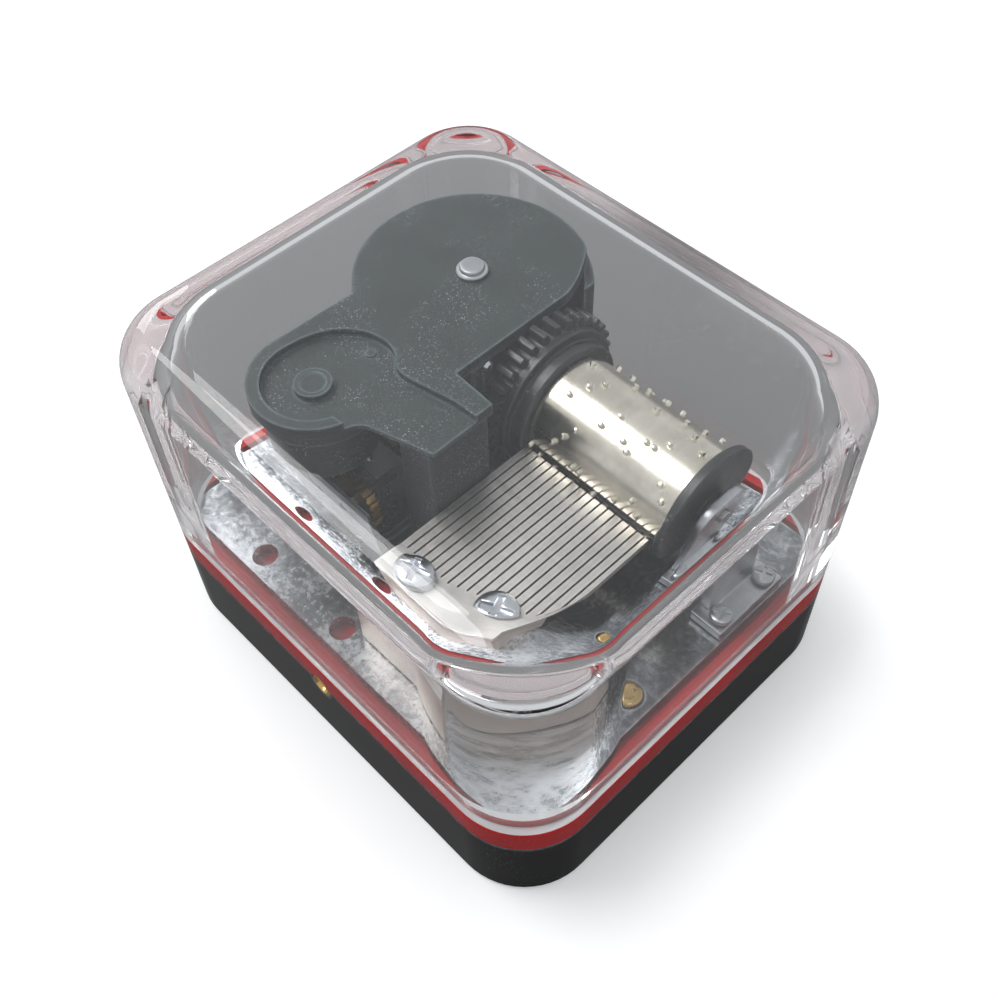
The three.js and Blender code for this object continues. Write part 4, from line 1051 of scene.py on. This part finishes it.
class MUSICBOX_OT_cylinder(bpy.types.Operator):
    """Build the pinned cylinder, its gear, end cap and bearing bracket"""
    bl_idname = "musicbox.cylinder"
    bl_label = "Cylinder"

    def execute(self, context):
        looks = context.scene.music_box_colours
        sizes = context.scene.music_box_movement
        turn = (0.0, 0.0, math.pi / 2)
        nickel = plain_metal(
            "Nickel", looks.cylinder, roughness=0.2, brush=(900.0, 0.3, 0.05),
            tarnish=(0.62, 0.57, 0.48, 1), turn=turn,
        )
        plastic = moulded_plastic(
            "Gear plastic", looks.gear, roughness=0.36, grain=(2600.0, 0.15), dust=(1500.0, 0.35),
            wear_and_highlight=0.7,
        )
        self.axis = middle("cylinder_arbor")[1:]
        self.tube(sizes, nickel)
        self.gear(sizes, plastic)
        self.end_cap(plastic)
        dressed(bpy.data.materials["Screw steel"], "cylinder_arbor")
        self.bracket()
        return {"FINISHED"}

    def tube(self, sizes, nickel):
        left, right = span("pinned_cylinder")[0]
        radius = sizes.cylinder_radius / MM
        bore = radius - TUBE_WALL
        tube = turned("cylinder", [
            (radius - 0.1, left), (radius, left + 0.1), (radius, right - 0.1), (radius - 0.1, right),
        ], 128)
        combined(tube, turned("inside", [(bore, left - 1), (bore, right + 1)], 96))
        along_x(tube, *self.axis)
        pin_radius, proud = sizes.pin_radius / MM, radius + sizes.pin_height / MM
        pin = turned("pin", [
            (pin_radius, radius - 0.2), (pin_radius, proud - 0.16), (pin_radius * 0.85, proud - 0.06),
            (pin_radius * 0.5, proud),
        ], 10)
        pitch, slot = sizes.tine_pitch / MM, sizes.tine_slot / MM
        pins = []
        for tine, beats in enumerate(TUNE):
            x = left + (pitch - slot) / 2 + pitch * tine
            for beat in beats:
                angle = (beat - TOP_BEAT) * 2 * math.pi / BEATS
                pins.append(copied(pin, "pin", (x, *self.axis), (angle, 0, 0)))
        dropped(pin)
        gathered(tube, *pins)
        finished(smoothed(tube), nickel, "cylinder", "nickel", "pinned_cylinder")

    def gear(self, sizes, plastic):
        left, right = span("cylinder_gear")[0]
        face = left + GEAR_WIDTH
        teeth = sizes.gear_teeth
        wheel = traced("gear", tooth_outline(teeth, GEAR_ROOT, GEAR_OUTER, 0.62, 0.38), left, face)
        softened(wheel, 0.14, 2, 25)
        collar = span("pinned_cylinder")[0][0] - 0.05
        rings = turned("rings", [
            (GEAR_ROOT, face - 0.1), (8.1, face), (8.1, face + 0.8), (8.0, face + 0.9), (7.2, face + 0.95),
            (7.1, face + 1.1), (7.1, collar - 0.15), (6.95, collar), (5.5, collar), (5.5, right),
        ], 96)
        gathered(wheel, rings)
        along_x(wheel, *self.axis, math.pi / teeth)
        finished(smoothed(wheel), plastic, "cylinder", "black_plastic", "cylinder_gear")

    def end_cap(self, plastic):
        left, right = span("cylinder_end_cap")[0]
        low = right - 1.6
        cap = turned("end_cap", [
            (5.5, left), (5.5, low), (6.85, low), (7.0, low + 0.15), (7.0, low + 0.95), (6.85, low + 1.1),
            (2.2, low + 1.1), (2.0, low + 1.2), (2.0, right - 0.1), (1.9, right), (0.85, right),
        ], 96)
        along_x(cap, *self.axis)
        finished(smoothed(cap), plastic, "cylinder", "black_plastic", "cylinder_end_cap")

    def bracket(self):
        zinc = bpy.data.materials["Zinc"]
        y, height = self.axis
        x, _, (low, high) = span("bearing_bracket")
        thick = 1.3
        points = [(-3.6, low), (3.6, low), (3.6, high - 2.4)]
        points += arc(1.2, high - 2.4, 2.4, 0, 90, 8)
        points += arc(-1.2, high - 2.4, 2.4, 90, 180, 8)
        upright_plate = traced("bracket", points, 0, thick)
        moved(upright_plate, (0, 0, 0), (math.pi / 2, 0, math.pi / 2))
        moved(upright_plate, (x[0], y, 0))
        foot = block("foot", x, (y - 5, y + 5), (low, low + 1.2))
        combined(upright_plate, foot, "UNION")
        bearing = turned("bearing", [(ARBOR_BORE, 20), (ARBOR_BORE, 25)], 32)
        combined(upright_plate, along_x(bearing, y, height))
        softened(upright_plate, 0.2, 3, 40)
        finished(smoothed(upright_plate), zinc, "base", "zinc", "bearing_bracket")
        for i in (1, 2):
            node = f"bracket_screw_{i}"
            cross_screw(node, 1.2, zinc, "steel")


# ---- Comb ----
LONG_SLOTS = 6
LONG_SLOT_END = -13.7
SLOT_STEP = 0.36
SCREW_HEAD = 2.35


def cross_screw(node, head, material, slot):
    """Pan-head screw with a cross slot, standing where a frame node stands."""
    x, y, _ = middle(node)
    low, top = span(node)[2]
    height = head * 0.52
    shank = head * 0.43
    seat = top - height
    screw = turned(f"{node}_finished", [
        (shank, low), (shank, seat), (head * 0.96, seat), (head, seat + 0.08), (head, seat + height * 0.45),
        (head * 0.93, top - height * 0.28), (head * 0.75, top - height * 0.08), (head * 0.5, top),
    ], 56)
    arm = head * 0.16
    for turn in (0.4, 0.4 + math.pi / 2):
        cutter = block("cutter", (-0.72 * head, 0.72 * head), (-arm, arm), (top - height * 0.45, top + 1))
        combined(screw, moved(cutter, (0, 0, 0), (0, 0, turn)))
    softened(screw, 0.05, 2, 40)
    finished(smoothed(moved(screw, (x, y, 0))), material, "base", slot, node)


class MUSICBOX_OT_comb(bpy.types.Operator):
    """Build the comb, its cast block and their screws"""
    bl_idname = "musicbox.comb"
    bl_label = "Comb"

    def execute(self, context):
        looks = context.scene.music_box_colours
        sizes = context.scene.music_box_movement
        steel = plain_metal(
            "Comb steel", looks.comb, roughness=0.36, brush=(1400.0, 0.45, 0.1),
            tarnish=(0.48, 0.46, 0.44, 1),
        )
        cast = cast_metal("Cast block", looks.cast, 0.42)
        (left, right), (back, tip), (low, high) = span("comb")
        pitch, slot = sizes.tine_pitch / MM, sizes.tine_slot / MM
        points = [(left, back), (right, back)]
        for tine in reversed(range(sizes.tines)):
            edge = left + pitch * tine
            points += [(edge + pitch - slot, tip), (edge, tip)]
            if tine:
                root = self.slot_root(tine - 1)
                points += [(edge, root), (edge - slot, root)]
        comb = traced("comb_finished", points, low, high)
        drilled(comb, [middle(f"comb_screw_{i}")[:2] for i in (1, 2)], 1.05, low - 1, high + 1)
        softened(comb, 0.05, 2, 40)
        finished(smoothed(comb), steel, "base", "steel", "comb")
        self.block(sizes, cast)
        plating = bpy.data.materials["Bright plating"]
        for i in (1, 2):
            cross_screw(f"comb_screw_{i}", SCREW_HEAD, plating, "zinc")
        dressed(bpy.data.materials["Screw steel"], "block_screw_1", "block_screw_2")
        return {"FINISHED"}

    def slot_root(self, slot):
        """Where a slot ends: level on the long tines, then nearer with each shorter one."""
        return LONG_SLOT_END + SLOT_STEP * max(0, slot - LONG_SLOTS)

    def block(self, sizes, cast):
        """Cast block that carries the comb."""
        (left, right), (back, _), (low, high) = span("comb_block")
        pitch = sizes.tine_pitch / MM
        front, far = self.slot_root(0) - 0.4, self.slot_root(sizes.tines - 1) - 0.4
        body = traced("comb_block_finished", [
            (left, back), (right, back), (right, far), (left + pitch * LONG_SLOTS, front), (left, front),
        ], low, high)
        softened(body, 0.35, 3, 20)
        finished(smoothed(body), cast, "base", "zinc", "comb_block")


# ---- Governor ----
class MUSICBOX_OT_governor(bpy.types.Operator):
    """Build the fly and finish the governor's frame, wheels and worm"""
    bl_idname = "musicbox.governor"
    bl_label = "Governor"

    def execute(self, context):
        plastic = bpy.data.materials["Gear plastic"]
        steel = bpy.data.materials["Screw steel"]
        brass = bpy.data.materials["Turned brass"]
        dressed(bpy.data.materials["Matt dark plastic"], "governor_frame")
        dressed(brass, "first_pinion", "first_wheel", "second_pinion", "worm_wheel", "worm_bearing")
        dressed(steel, "first_arbor", "second_arbor", "worm_shaft")
        low, high = span("governor_fly")[2]
        hub = turned("fly", [
            (1.35, low), (1.5, low + 0.15), (1.5, low + 0.6), (4.2, low + 0.62), (4.3, low + 0.72),
            (4.3, low + 1.2), (4.2, low + 1.3), (1.5, low + 1.35), (1.5, high - 0.15), (1.35, high),
            (0.52, high),
        ], 64)
        vane = softened(block("vane", (-4.2, 4.2), (-0.5, 0.5), (low + 1.0, high)), 0.12, 2, 40)
        gathered(hub, vane)
        finished(smoothed(moved(hub, (*WORM_AXIS, 0))), plastic, "worm", "black_plastic", "governor_fly")
        return {"FINISHED"}


# ---- Stage ----
FLOOR_SIDE = 6.0
LIGHTS = {"overhead": ((-0.27, -0.16, 0.52), 0.30, 1.45), "left": ((-0.55, 0.05, 0.22), 0.22, 0.45)}
ROOM_COLOUR = (0.95, 0.97, 1.0, 1)
ROOM_STRENGTH = 0.68
BOUNCES = 32
CAMERA_PLACE = (58.6, -52.7, 122.6)
CAMERA_AZIMUTH = 47.7
CAMERA_ELEVATION = 52.93
CAMERA_ROLL = 2.29
CAMERA_LENS = 43.56


class MUSICBOX_OT_stage(bpy.types.Operator):
    """Lay the floor and set the lights and the camera"""
    bl_idname = "musicbox.stage"
    bl_label = "Stage"

    def execute(self, context):
        take(None)
        bpy.ops.mesh.primitive_plane_add(size=FLOOR_SIDE, location=(0, 0, 0))
        floor = named("floor")
        floor.data.materials.append(studio_card("Studio card", (0.93, 0.93, 0.93, 1)))
        for name, (place, size, power) in LIGHTS.items():
            self.light(name, place, size, power)
        world = bpy.data.worlds.new("Soft room")
        world.use_nodes = True
        background = world.node_tree.nodes["Background"]
        background.inputs["Color"].default_value = ROOM_COLOUR
        background.inputs["Strength"].default_value = ROOM_STRENGTH
        context.scene.world = world
        context.scene.cycles.max_bounces = BOUNCES
        context.scene.cycles.transmission_bounces = BOUNCES
        context.scene.cycles.glossy_bounces = BOUNCES
        context.scene.view_settings.view_transform = "Standard"
        self.camera(context.scene)
        return {"FINISHED"}

    def light(self, name, place, size, power):
        """Soft square light aimed at the box."""
        bpy.ops.object.light_add(type="AREA", location=place)
        lamp = bpy.context.object
        lamp.name = name
        lamp.data.size = size
        lamp.data.energy = power
        aim = Vector((0, 0, 0.02)) - Vector(place)
        lamp.rotation_euler = aim.to_track_quat("-Z", "Y").to_euler()

    def camera(self, scene):
        """Camera above the front corner, with a slight roll."""
        bpy.ops.object.camera_add()
        camera = bpy.context.object
        azimuth, elevation, roll = (
            math.radians(angle) for angle in (CAMERA_AZIMUTH, CAMERA_ELEVATION, CAMERA_ROLL)
        )
        back = Vector((
            math.sin(azimuth) * math.cos(elevation), -math.cos(azimuth) * math.cos(elevation),
            math.sin(elevation),
        ))
        right = Vector((0, 0, 1)).cross(back).normalized()
        up = back.cross(right)
        across = right * math.cos(roll) - up * math.sin(roll)
        over = up * math.cos(roll) + right * math.sin(roll)
        facing = Matrix((across, over, back)).transposed().to_4x4()
        camera.matrix_world = Matrix.Translation(Vector(CAMERA_PLACE) * MM) @ facing
        camera.data.lens = CAMERA_LENS
        camera.data.sensor_width = 36.0
        camera.data.clip_start = 0.005
        scene.camera = camera


class MUSICBOX_PT_panel(bpy.types.Panel):
    """Lists the steps that build the music box"""
    bl_label = "Music Box"
    bl_idname = "MUSICBOX_PT_panel"
    bl_space_type = "VIEW_3D"
    bl_region_type = "UI"
    bl_category = "Music Box"

    def draw(self, context):
        for step in STEPS:
            self.layout.operator(step.bl_idname)


STEPS = (
    MUSICBOX_OT_base, MUSICBOX_OT_cover, MUSICBOX_OT_bedplate, MUSICBOX_OT_winding, MUSICBOX_OT_housing,
    MUSICBOX_OT_cylinder, MUSICBOX_OT_comb, MUSICBOX_OT_governor, MUSICBOX_OT_stage,
)
CLASSES = (CaseSizes, MovementSizes, FinishColours, *STEPS, MUSICBOX_PT_panel)


def register():
    for item in CLASSES:
        bpy.utils.register_class(item)
    bpy.types.Scene.music_box_case = PointerProperty(type=CaseSizes)
    bpy.types.Scene.music_box_movement = PointerProperty(type=MovementSizes)
    bpy.types.Scene.music_box_colours = PointerProperty(type=FinishColours)


def unregister():
    del bpy.types.Scene.music_box_colours
    del bpy.types.Scene.music_box_movement
    del bpy.types.Scene.music_box_case
    for item in reversed(CLASSES):
        bpy.utils.unregister_class(item)


def main():
    register()
    build_groups()
    bpy.ops.musicbox.base()
    bpy.ops.musicbox.cover()
    bpy.ops.musicbox.bedplate()
    bpy.ops.musicbox.winding()
    bpy.ops.musicbox.housing()
    bpy.ops.musicbox.cylinder()
    bpy.ops.musicbox.comb()
    bpy.ops.musicbox.governor()
    bpy.ops.musicbox.stage()


if __name__ == "__main__":
    main()
